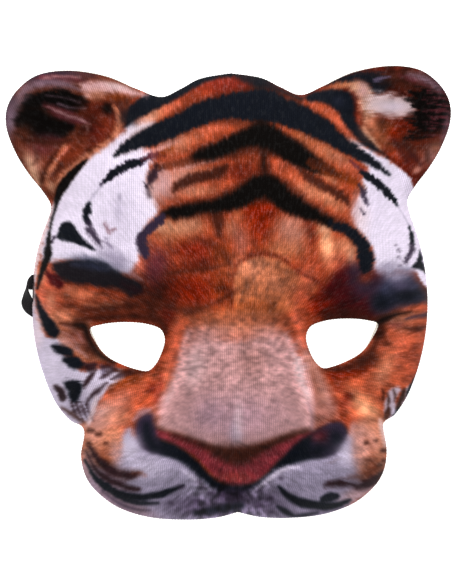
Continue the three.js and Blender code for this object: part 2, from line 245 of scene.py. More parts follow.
def swelling(form, ax, y):
    """An oval swelling or hollow that fades out at its edge"""
    reach = ((ax - form["x"]) / form["rx"]) ** 2 + ((y - form["y"]) / form["ry"]) ** 2
    return form["lift"] * np.clip(1 - reach, 0, None) ** 2


def groove(form, ax, y):
    """A rounded groove along a line"""
    near = (ax < GROOVES_WITHIN["x"]) & (y < GROOVES_WITHIN["y"])
    depth = np.zeros_like(ax)
    line = evenly(spline(form["line"], GROOVES_WITHIN["parts"]), GROOVES_WITHIN["spacing"])
    away = distances(np.stack([ax[near], y[near]], 1), line)
    depth[near] = form["depth"] * np.exp(-(away / form["width"]) ** 2)
    return depth


def head_height(ax, y):
    up = FACE_LENGTH_UP + (HEAD_LENGTH_UP - FACE_LENGTH_UP) * smoothstep(*HEAD_BLEND_Y, y)
    length = np.where(y < FACE_MID_Y, FACE_LENGTH_DOWN, up)
    roundness = np.maximum(NARROWEST, 1 - ((y - FACE_MID_Y) / length) ** 2)
    half_width = FACE_HALF_WIDTH * np.sqrt(roundness)
    return profile(HEAD_PROFILE, y) * signed_power(1 - (ax / half_width) ** 2)


def muzzle_height(ax, y):
    across = (ax / MUZZLE["half_width"]) ** MUZZLE["power"]
    along = (np.abs(y - MUZZLE["y"]) / MUZZLE["half_height"]) ** MUZZLE["power"]
    return MUZZLE["base"] + MUZZLE["rise"] * signed_power(1 - across - along)


def nose_share(ax, y):
    growth = np.where(y < NOSE_FOOT_Y, NOSE_WIDENING, NOSE_NARROWING_UP)
    half_width = NOSE_FOOT_HALF_WIDTH + growth * (NOSE_FOOT_Y - y)
    inner, outer = NOSE_ROUNDNESS
    across = (1 - np.minimum(1, ax / half_width) ** inner) ** outer
    v_edge = NOSE_V_BOTTOM_Y + NOSE_V_RISE * ax / NOSE_V_HALF_WIDTH
    return across * smoothstep(*NOSE_V_FADE, y - v_edge) * (1 - smoothstep(*NOSE_FADE_Y, y))


def bend(value, before, after):
    """A straight slope that changes from one gradient to another around zero"""
    return (after + before) / 2 * value + (after - before) / 2 * np.hypot(value, LEAN_BLEND)


def ear_height(ax, y):
    dx, dy = ax - EAR["x"], y - EAR["y"]
    lean = EAR["height"] + bend(dx, -EAR["lean_in"], -EAR["lean_out"])
    lean = lean + bend(dy, EAR["lean_down"], EAR["lean_up"])
    dish = EAR["dish"] * (1 - smoothstep(0, 1, np.hypot(dx, dy) / EAR["radius"]))
    across_x, across_y = EAR_CREASE["across"]
    inward = np.maximum(0, (EAR_CREASE["x"] - ax) * across_x + (EAR_CREASE["y"] - y) * across_y)
    return lean - dish - EAR_CREASE["fall"] * inward ** 2


def outer_height(x, y, curled=True):
    """Height of the outer face, with the edge curled in or not"""
    ax = np.abs(x)
    z = head_height(ax, y) + sum(swelling(form, ax, y) for form in SWELLINGS)
    z = smooth_max(z, muzzle_height(ax, y) + swelling(MUZZLE_PAD, ax, y), MUZZLE_BLEND)
    z = z + (profile(NOSE_PROFILE, y) - z) * nose_share(ax, y)
    z = z + swelling(LIP_GROOVE, ax, y) + swelling(NOSTRIL, ax, y)
    z = smooth_max(z, ear_height(ax, y), EAR_BLEND)
    z = z - groove(NOSE_GROOVE, ax, y) - groove(LIP_CLEFT, ax, y)
    return z - EDGE_CURL * np.maximum(0, 1 - inset(x, y) / EDGE_CURL_WIDTH) ** 2 if curled else z


def rest_share(x, y):
    """How far the rim is drawn down to the resting surface"""
    low = smoothstep(REST_FROM_Y - RIM_LIFT_BELOW, REST_FROM_Y, y)
    high = 1 - smoothstep(REST_TO_Y, REST_TO_Y + RIM_LIFT_ABOVE, y)
    return np.where(np.abs(x) < SIDE_MIN_X, 0, low * high)


def strap_arch(y):
    reach = (y - STRAP_ARCH["y"]) / STRAP_ARCH["half_length"]
    return STRAP_ARCH["height"] * np.clip(1 - reach ** 2, 0, None) ** 2


def signed_area(loop):
    x, y = loop.T
    return np.sum(x * np.roll(y, -1) - y * np.roll(x, -1)) / 2


def edge_loops():
    """The outline and the two eye holes, each with the sheet on its left"""
    half = spline(OUTLINE, SPLINE_PARTS)
    eye = spline(EYE_HOLE, SPLINE_PARTS, closed=True, centripetal=True)
    outline = np.vstack([half[:-1], (half * (-1, 1))[::-1][:-1]])
    loops = [evenly(loop, OUTER_SPACING, closed=True) for loop in (outline, eye, eye * (-1, 1))]
    return [loop[::-1] if (signed_area(loop) > 0) != (i == 0) else loop for i, loop in enumerate(loops)]


LOOPS = edge_loops()
EDGE = np.vstack(LOOPS)
NEXT_ON_EDGE = np.concatenate([np.roll(np.arange(len(loop)), -1) + start for loop, start in
                               zip(LOOPS, np.cumsum([0] + [len(loop) for loop in LOOPS[:-1]]))])
OUTLINE_SAMPLES = evenly(LOOPS[0], OUTLINE_SPACING, closed=True)


def inset(x, y):
    """How far points are from the outline"""
    return distances(np.stack([x, y], 1), OUTLINE_SAMPLES)


class Plan:
    """The sheet seen from the front: the edge points, then even rows of points inside, and the triangles"""

    def __init__(self, spacing):
        self.points = np.vstack([EDGE, self.rows(spacing)])
        edges = np.stack([np.arange(len(EDGE)), NEXT_ON_EDGE], 1).tolist()
        found = geometry.delaunay_2d_cdt([Vector(p) for p in self.points], edges, [], 0, MERGE_DISTANCE)
        triangles = np.array(found[2])
        keep = (triangles >= len(EDGE)).any(1)
        centres = self.points[triangles[~keep]].mean(1)
        keep[~keep] = np.array([self.inside(x, y) for x, y in centres])
        self.triangles = triangles[keep]

    def walls(self, y):
        """Where the edges cross a level line, from left to right"""
        a, b = EDGE, EDGE[NEXT_ON_EDGE]
        crosses = (a[:, 1] > y) != (b[:, 1] > y)
        a, b = a[crosses], b[crosses]
        return np.sort(a[:, 0] + (b[:, 0] - a[:, 0]) * (y - a[:, 1]) / (b[:, 1] - a[:, 1]))

    def inside(self, x, y):
        return np.searchsorted(self.walls(y), x) % 2 == 1

    def rows(self, spacing):
        low, high = EDGE.min(0), EDGE.max(0)
        step = spacing * 3 ** 0.5 / 2
        rows = []
        for row, y in enumerate(np.arange(low[1] + step / 2, high[1], step)):
            x = np.arange(low[0] + (row % 2) * spacing / 2, high[0], spacing)
            x = x[self.inside(x, y)]
            rows.append(np.stack([x, np.full(len(x), y)], 1))
        points = np.vstack(rows)
        within, least = EDGE_CLEARANCE
        return points[distances(points, EDGE) > max(within * spacing, least * OUTER_SPACING)]

    def face(self, depth):
        """The outer face over these points, moved in by a depth, with its edge brought down where it rests"""
        x, y = self.points.T
        points = np.stack([x, y, outer_height(x, y)], 1)
        if depth:
            run = 2 * SLOPE_STEP
            slope_x = (outer_height(x + SLOPE_STEP, y) - outer_height(x - SLOPE_STEP, y)) / run
            slope_y = (outer_height(x, y + SLOPE_STEP) - outer_height(x, y - SLOPE_STEP)) / run
            normal = np.stack([-slope_x, -slope_y, np.ones_like(x)], 1)
            points -= depth * normal / np.linalg.norm(normal, axis=1)[:, None]
        edge = slice(0, len(EDGE))
        points[edge, 2] += (strap_arch(EDGE[:, 1]) - points[edge, 2]) * rest_share(*EDGE.T)
        return points


def knit_teeth(points):
    """Every second edge point drawn in, as the knit's cut edge has it"""
    after = EDGE[NEXT_ON_EDGE] - EDGE
    inward = np.stack([-after[:, 1], after[:, 0]], 1)
    inward /= np.linalg.norm(inward, axis=1)[:, None]
    points[0:len(EDGE):2, :2] += EDGE_TOOTH * inward[::2]
    return points


def closed_sheet(outer, outer_plan, inner, inner_plan):
    """Points and triangles of a sheet between two faces that share their edge"""
    offset = len(outer)
    a, b = np.arange(len(EDGE)), NEXT_ON_EDGE
    rim = np.vstack([np.stack([a, a + offset, b + offset], 1), np.stack([a, b + offset, b], 1)])
    triangles = np.vstack([outer_plan.triangles, inner_plan.triangles[:, ::-1] + offset, rim])
    return np.vstack([outer, inner]), triangles


def new_piece(name, points, faces):
    """A mesh object from points in millimetres"""
    mesh = bpy.data.meshes.new(name)
    mesh.from_pydata((np.array(points) * MM).tolist(), [], faces)
    mesh.validate()
    mesh.shade_smooth()
    piece = bpy.data.objects.new(name, mesh)
    bpy.context.scene.collection.objects.link(piece)
    return piece


# The colours, as a screen shows them: mostly the print's own, and sheen and some others that lay painted
# highlight and shade
COLOURS = {
    "rust": (150, 62, 36), "deep_rust": (128, 34, 8), "brick": (118, 38, 26), "burnt": (90, 30, 18),
    "ochre": (176, 102, 68), "olive": (120, 54, 22), "tan": (188, 116, 88), "apricot": (206, 128, 94),
    "peach": (248, 168, 124), "salmon": (208, 100, 72), "orange": (184, 86, 56),
    "rose_tan": (176, 131, 130), "rose_grey": (152, 118, 128), "rose": (236, 178, 178),
    "blush": (232, 206, 210), "lilac_white": (232, 219, 238), "lilac": (206, 193, 214),
    "lilac_grey": (150, 139, 162), "plum_grey": (90, 77, 100), "plum": (48, 37, 54), "brown": (102, 50, 34),
    "umber": (56, 26, 18), "maroon": (64, 14, 18), "dusk": (88, 40, 46), "ink": (15, 18, 25),
    "black": (10, 7, 6), "slate": (54, 56, 78), "nose_red": (134, 50, 58), "wine": (54, 20, 26),
    "dusty_rose": (194, 148, 148), "sheen": (124, 98, 112), "sand": (226, 170, 138),
    "coral": (228, 156, 138), "soot": (38, 20, 24),
}

# The pictured hair: where it spreads from on the face and the muzzle, how it rises in the ears, and its size
HAIR_CENTRE = (4.0, -28.0)
MUZZLE_HAIR = {"centre": (0.0, -58.0), "from_y": (-48, -58), "rise": 0.6}
EAR_HAIR = {"from_x": (44, 52), "from_y": (50, 60), "rise_left": 0.25, "rise_right": 0.025}
HAIR_SPREAD = 60
HAIR_SIZE = (0.8, 3.2)

# The grid that noise is made on, which reaches as far from the middle to every side
GRAIN = 0.4
GRID_REACH = 96.0
LAST_CELL = 1.001
NEAR_ZERO = 1e-9
FAR = 1e9

# The parts of a printed line from point to point, how soft a wash is, and how ragged the edges are
PRINT_PARTS = 4
WASH = {"reach": 2.2, "fall": 1.1, "power": 2.4, "ragged": 0.1}
RAG = {"fine": 0.7, "broad": 0.5, "most": 2, "less": 0.35, "less_from_y": (10, -10)}
SPOT = {"half_length": 0.5, "half_width": 0.7}

# How far each kind of noise darkens or lightens the parts of the print, and where the parts fade out
BRIDGE = {"x": 3, "side": (30, 24), "top": (-2, -12), "foot": (-62, -50), "calm_y": (-46, -34), "calm": 0.6,
          "ticks": 0.09, "curl": 0.05, "most": 1.6}
BROW = {"x": 14, "y": 2, "stretch": 1.2, "side": (22, 14), "curl": 0.07, "most": 2}
CHIN = {"side": (20, 12), "top": (-72, -78), "strength": 0.18, "broad": 0.6, "most": 2}
PALE_MUZZLE = {"top": (-58, -66), "fine": 0.06, "broad": 0.03}
FUR = {"fine": 0.08, "broad": 0.09, "mottle": 0.09, "tuft": 0.3, "tufts_from": (1.0, 2.2),
       "coarse_from_y": (10, -5), "coarse": 0.5, "coarse_ear": 0.9}
DEEPER_DARKS = 0.22
LEAST_LIGHT = 0.05
FLECKS = {"pale": 0.2, "dark": 0.3, "dark_to_light": (0.15, 0.55), "less_on_bridge": 0.25}


def hair_direction(u, v):
    """Unit direction in which the pictured hair lies: out from the nose, and sideways in the ears"""
    low = smoothstep(*MUZZLE_HAIR["from_y"], v)
    muzzle_u, muzzle_v = MUZZLE_HAIR["centre"]
    du = (u - HAIR_CENTRE[0]) * (1 - low) + (u - muzzle_u) * low
    dv = (v - HAIR_CENTRE[1]) * (1 - low) + (v - muzzle_v) * low * MUZZLE_HAIR["rise"]
    ear = smoothstep(*EAR_HAIR["from_y"], v) * smoothstep(*EAR_HAIR["from_x"], abs(u))
    length = np.hypot(du, dv) + NEAR_ZERO
    du = du / length * (1 - ear) + np.sign(u) * ear
    dv = dv / length * (1 - ear) + np.where(u < 0, EAR_HAIR["rise_left"], EAR_HAIR["rise_right"]) * ear
    length = np.hypot(du, dv) + NEAR_ZERO
    return du / length, dv / length


def level(u, v):
    """The direction of noise that is drawn out sideways"""
    return np.ones_like(u), np.zeros_like(v)


def blurred(field, times):
    for _ in range(times):
        field = (np.roll(field, 1, 0) + 2 * field + np.roll(field, -1, 0)) / 4
        field = (np.roll(field, 1, 1) + 2 * field + np.roll(field, -1, 1)) / 4
    return field


def read_grid(grid, u, v, step=GRAIN):
    """A square grid over the sheet, read between its points"""
    x = np.clip((u + GRID_REACH) / step, 0, len(grid) - LAST_CELL)
    y = np.clip((v + GRID_REACH) / step, 0, len(grid) - LAST_CELL)
    i, j = y.astype(int), x.astype(int)
    fy, fx = y - i, x - j
    low = grid[i, j] * (1 - fx) + grid[i, j + 1] * fx
    high = grid[i + 1, j] * (1 - fx) + grid[i + 1, j + 1] * fx
    return low * (1 - fy) + high * fy


def streaks(seed, blur, steps, direction):
    """Noise drawn out along a direction, with mean 0 and spread 1"""
    side = int(2 * GRID_REACH / GRAIN)
    noise = blurred(np.random.default_rng(seed).standard_normal((side, side)), blur)
    v0, u0 = np.mgrid[0:side, 0:side] * GRAIN - GRID_REACH
    total = np.zeros_like(noise)
    for way in (1, -1):
        u, v = u0.copy(), v0.copy()
        for step in range(steps):
            du, dv = direction(u, v)
            u += way * du * GRAIN
            v += way * dv * GRAIN
            total += read_grid(noise, u, v) * (1 - step / steps)
    return (total - total.mean()) / total.std()


# Seed, blur, steps and direction of the fine and broad streaks, the ticks, the curls and the mottling
NOISES = [(3, 0, 4, hair_direction), (5, 4, 6, hair_direction), (8, 1, 2, level), (14, 3, 1, level),
          (11, 16, 2, level)]


def to_segment(u, v, a, b):
    """The nearest point of a straight piece to each u, v: its share of the way, and how far off it is"""
    du, dv = b[0] - a[0], b[1] - a[1]
    share = np.clip(((u - a[0]) * du + (v - a[1]) * dv) / (du * du + dv * dv + NEAR_ZERO), 0, 1)
    return share, np.hypot(u - a[0] - share * du, v - a[1] - share * dv)


class Print:
    """The picture on the cloth, painted at a set of points of the sheet"""

    def __init__(self, u, v):
        self.u, self.v = u, v
        self.fine, self.broad, self.ticks, self.curl, self.mottle = (
            read_grid(streaks(*noise), u, v) for noise in NOISES)
        rag = np.clip(RAG["fine"] * self.fine + RAG["broad"] * self.broad, -RAG["most"], RAG["most"])
        self.rag = rag * (1 - RAG["less"] * smoothstep(*RAG["less_from_y"], v))
        self.colour = np.zeros((len(u), 3))

    def near(self, points, margin):
        p = np.array(points, float)
        low, high = p[:, :2].min(0) - margin, p[:, :2].max(0) + margin
        return np.flatnonzero((self.u > low[0]) & (self.u < high[0]) & (self.v > low[1]) & (self.v < high[1]))

    def lay(self, where, colour, share):
        ink = np.array(COLOURS[colour], float) / 255
        share = np.clip(share, 0, 1)[:, None]
        self.colour[where] = self.colour[where] * (1 - share) + ink * share

    def wash(self, colour, u, v, ru, rv, strength, tilt=0):
        at = self.near([(u, v)], WASH["reach"] * max(ru, rv))
        du, dv = self.u[at] - u, self.v[at] - v
        c, s = np.cos(np.radians(tilt)), np.sin(np.radians(tilt))
        r = np.hypot((du * c + dv * s) / ru, (dv * c - du * s) / rv) + WASH["ragged"] * self.rag[at]
        self.lay(at, colour, strength * np.exp(-WASH["fall"] * np.clip(r, 0, None) ** WASH["power"]))

    def patch(self, colour, outline, feather, ragged, strength=1):
        line = spline(outline, PRINT_PARTS, closed=True)
        at = self.near(line, 2 * feather + 3 * ragged)
        u, v = self.u[at], self.v[at]
        nearest = np.full(len(at), FAR)
        inside = np.zeros(len(at), bool)
        for a, b in zip(line, np.roll(line, -1, 0)):
            nearest = np.minimum(nearest, to_segment(u, v, a, b)[1])
            crosses = (a[1] > v) != (b[1] > v)
            inside ^= crosses & (u < (b[0] - a[0]) * (v - a[1]) / ((b[1] - a[1]) or NEAR_ZERO) + a[0])
        depth = np.where(inside, nearest, -nearest) + ragged * self.rag[at]
        self.lay(at, colour, strength * smoothstep(-feather, feather, depth))

    def stroke(self, colour, points, feather, ragged, strength=1):
        line = spline(points, PRINT_PARTS)
        at = self.near(line, line[:, 2].max() + 2 * feather + 3 * ragged)
        depth = np.full(len(at), -FAR)
        for a, b in zip(line[:-1], line[1:]):
            share, away = to_segment(self.u[at], self.v[at], a, b)
            depth = np.maximum(depth, a[2] + (b[2] - a[2]) * share - away)
        self.lay(at, colour, strength * smoothstep(-feather, feather, depth + ragged * self.rag[at]))

    def paint(self, rows):
        for colour, first, *rest in rows:
            if not isinstance(first, list):
                self.wash(colour, first, *rest)
            elif len(first[0]) == 2:
                self.patch(colour, first, *rest)
            else:
                self.stroke(colour, first, *rest)

    def shade(self, amount):
        """Darkens or lightens the colour by a share"""
        self.colour *= np.clip(1 + amount, 0, 2)[:, None]


def spots(colour, places, *edge):
    """Small round strokes, each place u, v and radius"""
    long, wide = SPOT["half_length"], SPOT["half_width"]
    return [(colour, [(u - radius * long, v, radius * wide), (u + radius * long, v, radius * wide)], *edge)
            for u, v, radius in places]


def tufts(colour, places, hair, *edge):
    """The same short stroke at several places"""
    return [(colour, [(u + du, v + dv, half_width) for du, dv, half_width in hair], *edge) for u, v in places]


def ear_hairs(rows, lowest, apart):
    """Rows of dark and brown hairs across the right ear, whose inner ends lie further in or out in turn"""
    hairs = []
    for row in range(rows):
        v = lowest + apart * row
        dark = [(69.6 + 1.6 * (row % 3), v, 0.2), (75, v + 0.3, 0.9), (80, v + 0.4, 0.6)]
        brown = [(77 + 2 * (row % 2), v + 1.2, 0.2), (83, v + 1, 0.6), (88, v + 0.2, 0.3)]
        hairs += [("black", dark, 0.8, 0.7, 0.9), ("dusk", brown, 0.8, 0.6, 0.8)]
    return hairs


# The print, region by region, in the order it is painted and in millimetres of the photograph's view.
# A wash is a soft oval: colour, middle u and v, half width and height, strength, and a tilt in degrees.
# A patch is a colour and a list of u and v round it. A stroke is a colour and a list of u, v and half width.
# Both end with how soft and how ragged the edge is, and the strength where it isn't full.
# Some rows, noted where they stand, are painted highlight, sheen and shade rather than print.
FOREHEAD_PRINT = [
    # Ground colours, from the crown down to the brows
    ("brick", 0, 84, 30, 6, 0.95), ("rust", -18, 77, 12, 4, 0.7, 25), ("apricot", -31, 71, 7, 2.6, 0.9, 28),
    ("salmon", -24, 74, 5, 2, 0.8, 28), ("burnt", 8, 81, 6, 5, 0.6), ("orange", -14, 64, 16, 5, 0.85, 18),
    ("tan", -21, 60, 8, 4, 0.7, 20), ("rose_tan", -25, 59.6, 5, 2, 0.6, 20),
    ("salmon", -7, 66, 5, 2, 0.5, 15), ("brown", 5, 67, 5, 3, 0.75), ("orange", 20, 67, 4, 2, 0.4, -30),
    ("rust", 22, 64, 9, 4, 0.8, -30), ("ochre", 33, 59, 11, 4, 0.9, -35),
    ("orange", 34, 58, 6, 2.4, 0.5, -35), ("tan", 43, 54, 7, 3, 0.7, -35),
    ("orange", 38, 72, 9, 3, 0.8, -32), ("salmon", 45, 67, 5, 2.4, 0.7, -50),
    ("tan", -18, 47, 11, 4, 0.75, 12), ("dusty_rose", -17, 51, 6, 1.6, 0.6, 12),
    ("dusty_rose", -8, 53, 4, 1, 0.6, 12), ("tan", -14, 40.6, 9, 2.6, 0.75, 5),
    ("orange", -3, 44, 5, 3, 0.6), ("burnt", 4, 49, 5, 4, 0.6), ("salmon", 19, 51, 3, 3, 0.5, -40),
    ("orange", 25, 46, 6, 5, 0.7, -40), ("tan", 31, 41, 6, 4, 0.7, -38),
    ("apricot", 39, 38, 9, 3.6, 0.85, -35), ("apricot", 38, 46.6, 7, 1.6, 0.7, -32),
    ("salmon", 47, 50, 6, 1.6, 0.5, -35),
    # Between the lowest stripe and the brows
    ("ochre", -21, 24, 11, 7, 0.95), ("sand", -28, 27, 3.5, 3, 0.6), ("sand", -19, 26, 7, 3, 0.25),
    ("tan", -18, 28, 6, 4, 0.6), ("tan", 0, 26, 3, 4, 0.6), ("olive", -20, 20, 3, 3, 0.5),
    ("sand", -20, 26.4, 9, 3, 0.22, 8), ("deep_rust", 13, 29, 8, 10, 0.95), ("apricot", 3, 33, 3, 4, 0.6),
    ("tan", 24, 25, 7, 8, 0.8), ("ochre", 21, 17, 8, 5, 0.8), ("rose_tan", 24, 26, 7, 7, 0.35),
    ("rose_tan", 4, 21, 4, 7, 0.35), ("brick", -14, 17, 11, 6, 0.85), ("deep_rust", -16, 17, 6, 3, 0.7),
    ("olive", -4, 15, 5, 6, 0.7), ("rust", -21, 10, 8, 5, 0.8), ("dusk", -29, 11, 5, 8, 0.9, 12),
    ("burnt", -26, 1, 7, 8, 0.9), ("deep_rust", -14, 1, 10, 7, 0.9), ("burnt", -14, 12, 10, 2.4, 0.6, 8),
    ("olive", -1, 2, 7, 6, 0.8), ("deep_rust", 0, 2, 4, 4, 0.5), ("umber", -17, -7, 8, 2.6, 0.6),
    ("maroon", -26, -8, 4, 3, 0.5),
    ("ochre", [(0, 4), (1.4, 9), (5, 12.6), (12, 14.6), (20, 13), (27, 8), (34, 3), (31, -3), (22, -8),
     (10, -10), (2, -7)], 1.6, 0.4, 0.9),
    ("tan", 8, 10, 9, 5, 0.8), ("tan", 18, 4, 8, 4, 0.5, -15), ("olive", 9, -6, 12, 3.6, 0.7),
    ("orange", 29, -3, 5, 6, 0.9), ("salmon", 29.6, -2, 4, 5, 0.6), ("salmon", 31, 7, 4, 5, 0.8),
    ("peach", 38.6, 19, 3.4, 8, 1, 8), ("sand", 38, 27, 3, 3, 0.6), ("apricot", 46, 18, 5, 5, 0.85),
    ("sand", 48, 14, 2, 4, 0.6), ("salmon", 43, 12, 5, 4, 0.7), ("salmon", -36.6, 11.6, 2.4, 4, 0.9, 20),
    # Creases drawn in the fur, and dark smudges
    ("burnt", [(0.4, -6, 0.5), (0.4, 2, 0.7), (1, 8, 0.8), (4, 12.8, 0.7), (11.6, 15.4, 0.5),
     (19.6, 14, 0.5), (27.6, 8.4, 0.6), (35.6, 4.2, 0.8)], 1, 0.4, 0.55),
    ("umber", [(-29.4, 7, 0.7), (-22.4, 8.2, 0.9), (-14.4, 9.2, 0.9), (-6.4, 10.2, 0.8), (0.1, 12.4, 0.5)],
     1.2, 0.3, 0.6),
    ("umber", [(-13.4, 21.7, 0.5), (-8.4, 19.7, 1.4), (-3.4, 16.7, 1.6), (-0.4, 11.7, 0.9)], 1.6, 0.4, 0.5),
    ("umber", [(-6.9, 33.2, 1.8), (-5.2, 29.2, 2.6), (-4.9, 23.2, 1)], 1.8, 0.5, 0.85),
    ("burnt", [(29.1, 31.2, 0.8), (31.6, 26.2, 2), (32.6, 20.7, 0.8)], 1.6, 0.5, 0.6),
    ("burnt", [(7.6, 15.7, 0.4), (12.6, 16.2, 0.8), (19.6, 14.7, 0.6)], 1.4, 0.4, 0.5),
    ("umber", [(-24, -6, 0.8), (-14, -7, 1.2), (-4, -2.6, 0.9), (4, 2, 0.4)], 1.6, 0.4, 0.6),
]
TEMPLE_PRINT = [
    ("lilac_white", [(-41, 70), (-37, 67.4), (-31, 68), (-34, 62), (-34, 58), (-31, 55), (-32.5, 51),
     (-33.4, 45), (-31, 38), (-29, 33), (-33, 28), (-36, 20), (-37.4, 13), (-42, 8), (-52, 10), (-64, 13),
     (-75, 12), (-76, 20), (-73, 30), (-70, 38), (-64, 46), (-56, 55), (-48, 61.4), (-43, 65)], 1.6, 0.5),
    ("lilac", -44, 29, 9, 16, 0.5), ("blush", -31, 42, 4, 6, 0.6), ("dusty_rose", -27, 44, 4, 7, 0.85),
    ("dusty_rose", -20, 46, 6, 6, 0.4), ("blush", -36, 66, 6, 4, 0.6, 35),
    ("rose", -31, 57, 5, 1.4, 0.5, 15),
    ("lilac_white", [(47, 61), (53, 58.6), (58, 56), (63, 53.6), (68, 50.5), (76, 47), (80, 40), (80, 12),
     (74, 9), (66, 9), (62, 5), (58, 8), (57, 16), (54, 22), (50, 27), (49, 33), (52, 40), (53, 46),
     (55, 49), (52, 53.4)], 1.5, 0.5),
    ("dusty_rose", 50, 33, 2.6, 7, 0.6), ("blush", 53, 30, 3, 8, 0.6), ("lilac", 57, 34, 5, 12, 0.3),
    ("blush", 50, 59, 5, 2, 0.6, -35), ("dusty_rose", 74, 49.6, 5, 2, 0.7, -20),
]
BROW_PRINT = [
    # Left: a blue-black band over the outer corner, and rust-brown fur down to the eye, with painted shade
    # under the brow
    ("salmon", [(-79, 8), (-76, 12), (-73, 12.6), (-69, 8), (-66, 3), (-66, -2), (-78, -2)],
     1.4, 0.6, 0.95),
    ("sand", -76, 7, 2, 4, 0.5), ("rust", -55, -2, 22, 6, 1), ("orange", -64, -1, 6, 3, 0.7, -15),
    # The umber and dusk washes at the inner corner are painted shade under the brow, over darker fur
    ("brown", -50, -5, 20, 4, 0.9), ("umber", -31, -2, 7, 9, 0.9), ("dusk", -31, 9, 4, 7, 0.8),
    ("tan", -62, 1, 6, 2.2, 0.5, -10), ("slate", -54, 11.6, 10, 3, 0.8, -12),
    ("ink", [(-71.4, 11.7), (-66.4, 13), (-59.4, 13.6), (-52.4, 12.6), (-46.4, 9.7), (-40.4, 6.7),
     (-35.2, 3.6), (-36.4, 0), (-40.2, -2), (-42.8, 0), (-46.4, 1.4), (-51.4, 2), (-56.4, 3), (-62.4, 3.4),
     (-67.4, 5), (-70.4, 8.2)], 1.5, 0.5, 0.92),
    ("slate", [(-63.4, 11.4, 0.6), (-56.4, 11, 1.3), (-49.4, 9.4, 0.8)], 1.4, 0.3, 0.5),
    ("lilac_grey", [(-46.4, 11.2, 0.6), (-41.4, 8.7, 1), (-36.4, 5.4, 0.6)], 1.8, 0.4, 0.55),
    ("soot", [(-43.4, 3.2, 1), (-39.4, 1.4, 1.8), (-35.9, 0.4, 1)], 1.6, 0.6, 0.8),
    ("maroon", [(-73.6, 8.2, 0.6), (-71.4, 6, 1.7), (-68.6, 3.4, 1.6)], 1.1, 0.4, 0.95),
    # Painted shade in a band just above the eye, under the brow
    ("umber", [(-62, -8, 0.5), (-54, -6, 1.4), (-46, -6, 1.4), (-38, -5, 1.6)], 1.8, 0.6, 0.7),
    ("orange", [(-62, 0.4, 0.6), (-54, -1.4, 1.1), (-46, -2.4, 0.7)], 1.2, 0.6, 0.6),
    ("tan", [(-60, -4, 0.3), (-52, -5, 0.7), (-44, -4, 0.3)], 1.2, 0.6, 0.35),
    # Right: dark red-brown running out into blue-grey
    ("maroon", [(37, 2), (42, 8.6), (47, 11), (53, 9.4), (60, 8), (66, 3), (64, -8), (54, -11), (44, -11),
     (35, -8), (34, -3)], 2.8, 0.5, 0.95),
    # The umber wash at 46, -8 is painted shade above the eye, under the brow
    ("plum", 50, 9, 4, 5, 0.7), ("deep_rust", 35, -5, 6, 5, 0.85), ("umber", 46, -8, 10, 3, 0.7),
    ("lilac_grey", 62, 10.6, 5, 2, 0.7, 20), ("plum", 54, 3, 7, 6, 0.85),
    ("slate", [(60, 5), (64, 8), (69, 9), (73, 8), (77, 3), (79, -1), (78, -4), (73, -5), (66, -6.4),
     (60, -8.8), (57, -6), (57.6, 0)], 3.4, 0.5, 0.95),
    ("lilac_grey", 68, 8.6, 6, 2, 0.6), ("lilac_grey", 66, 6.2, 4.6, 2.2, 0.8),
    ("rust", 54, 6.4, 3.4, 2.4, 0.6, 30), ("ink", 60, -4, 5, 4, 0.97), ("ink", 70, -1.4, 9, 3.6, 0.9),
    ("plum_grey", 68, 3, 4, 2.4, 0.4),
    ("lilac_white", [(74, 9.6), (77, 9.4), (79.5, 3), (79, 1.8), (76.4, 4)], 0.7, 0.3),
]
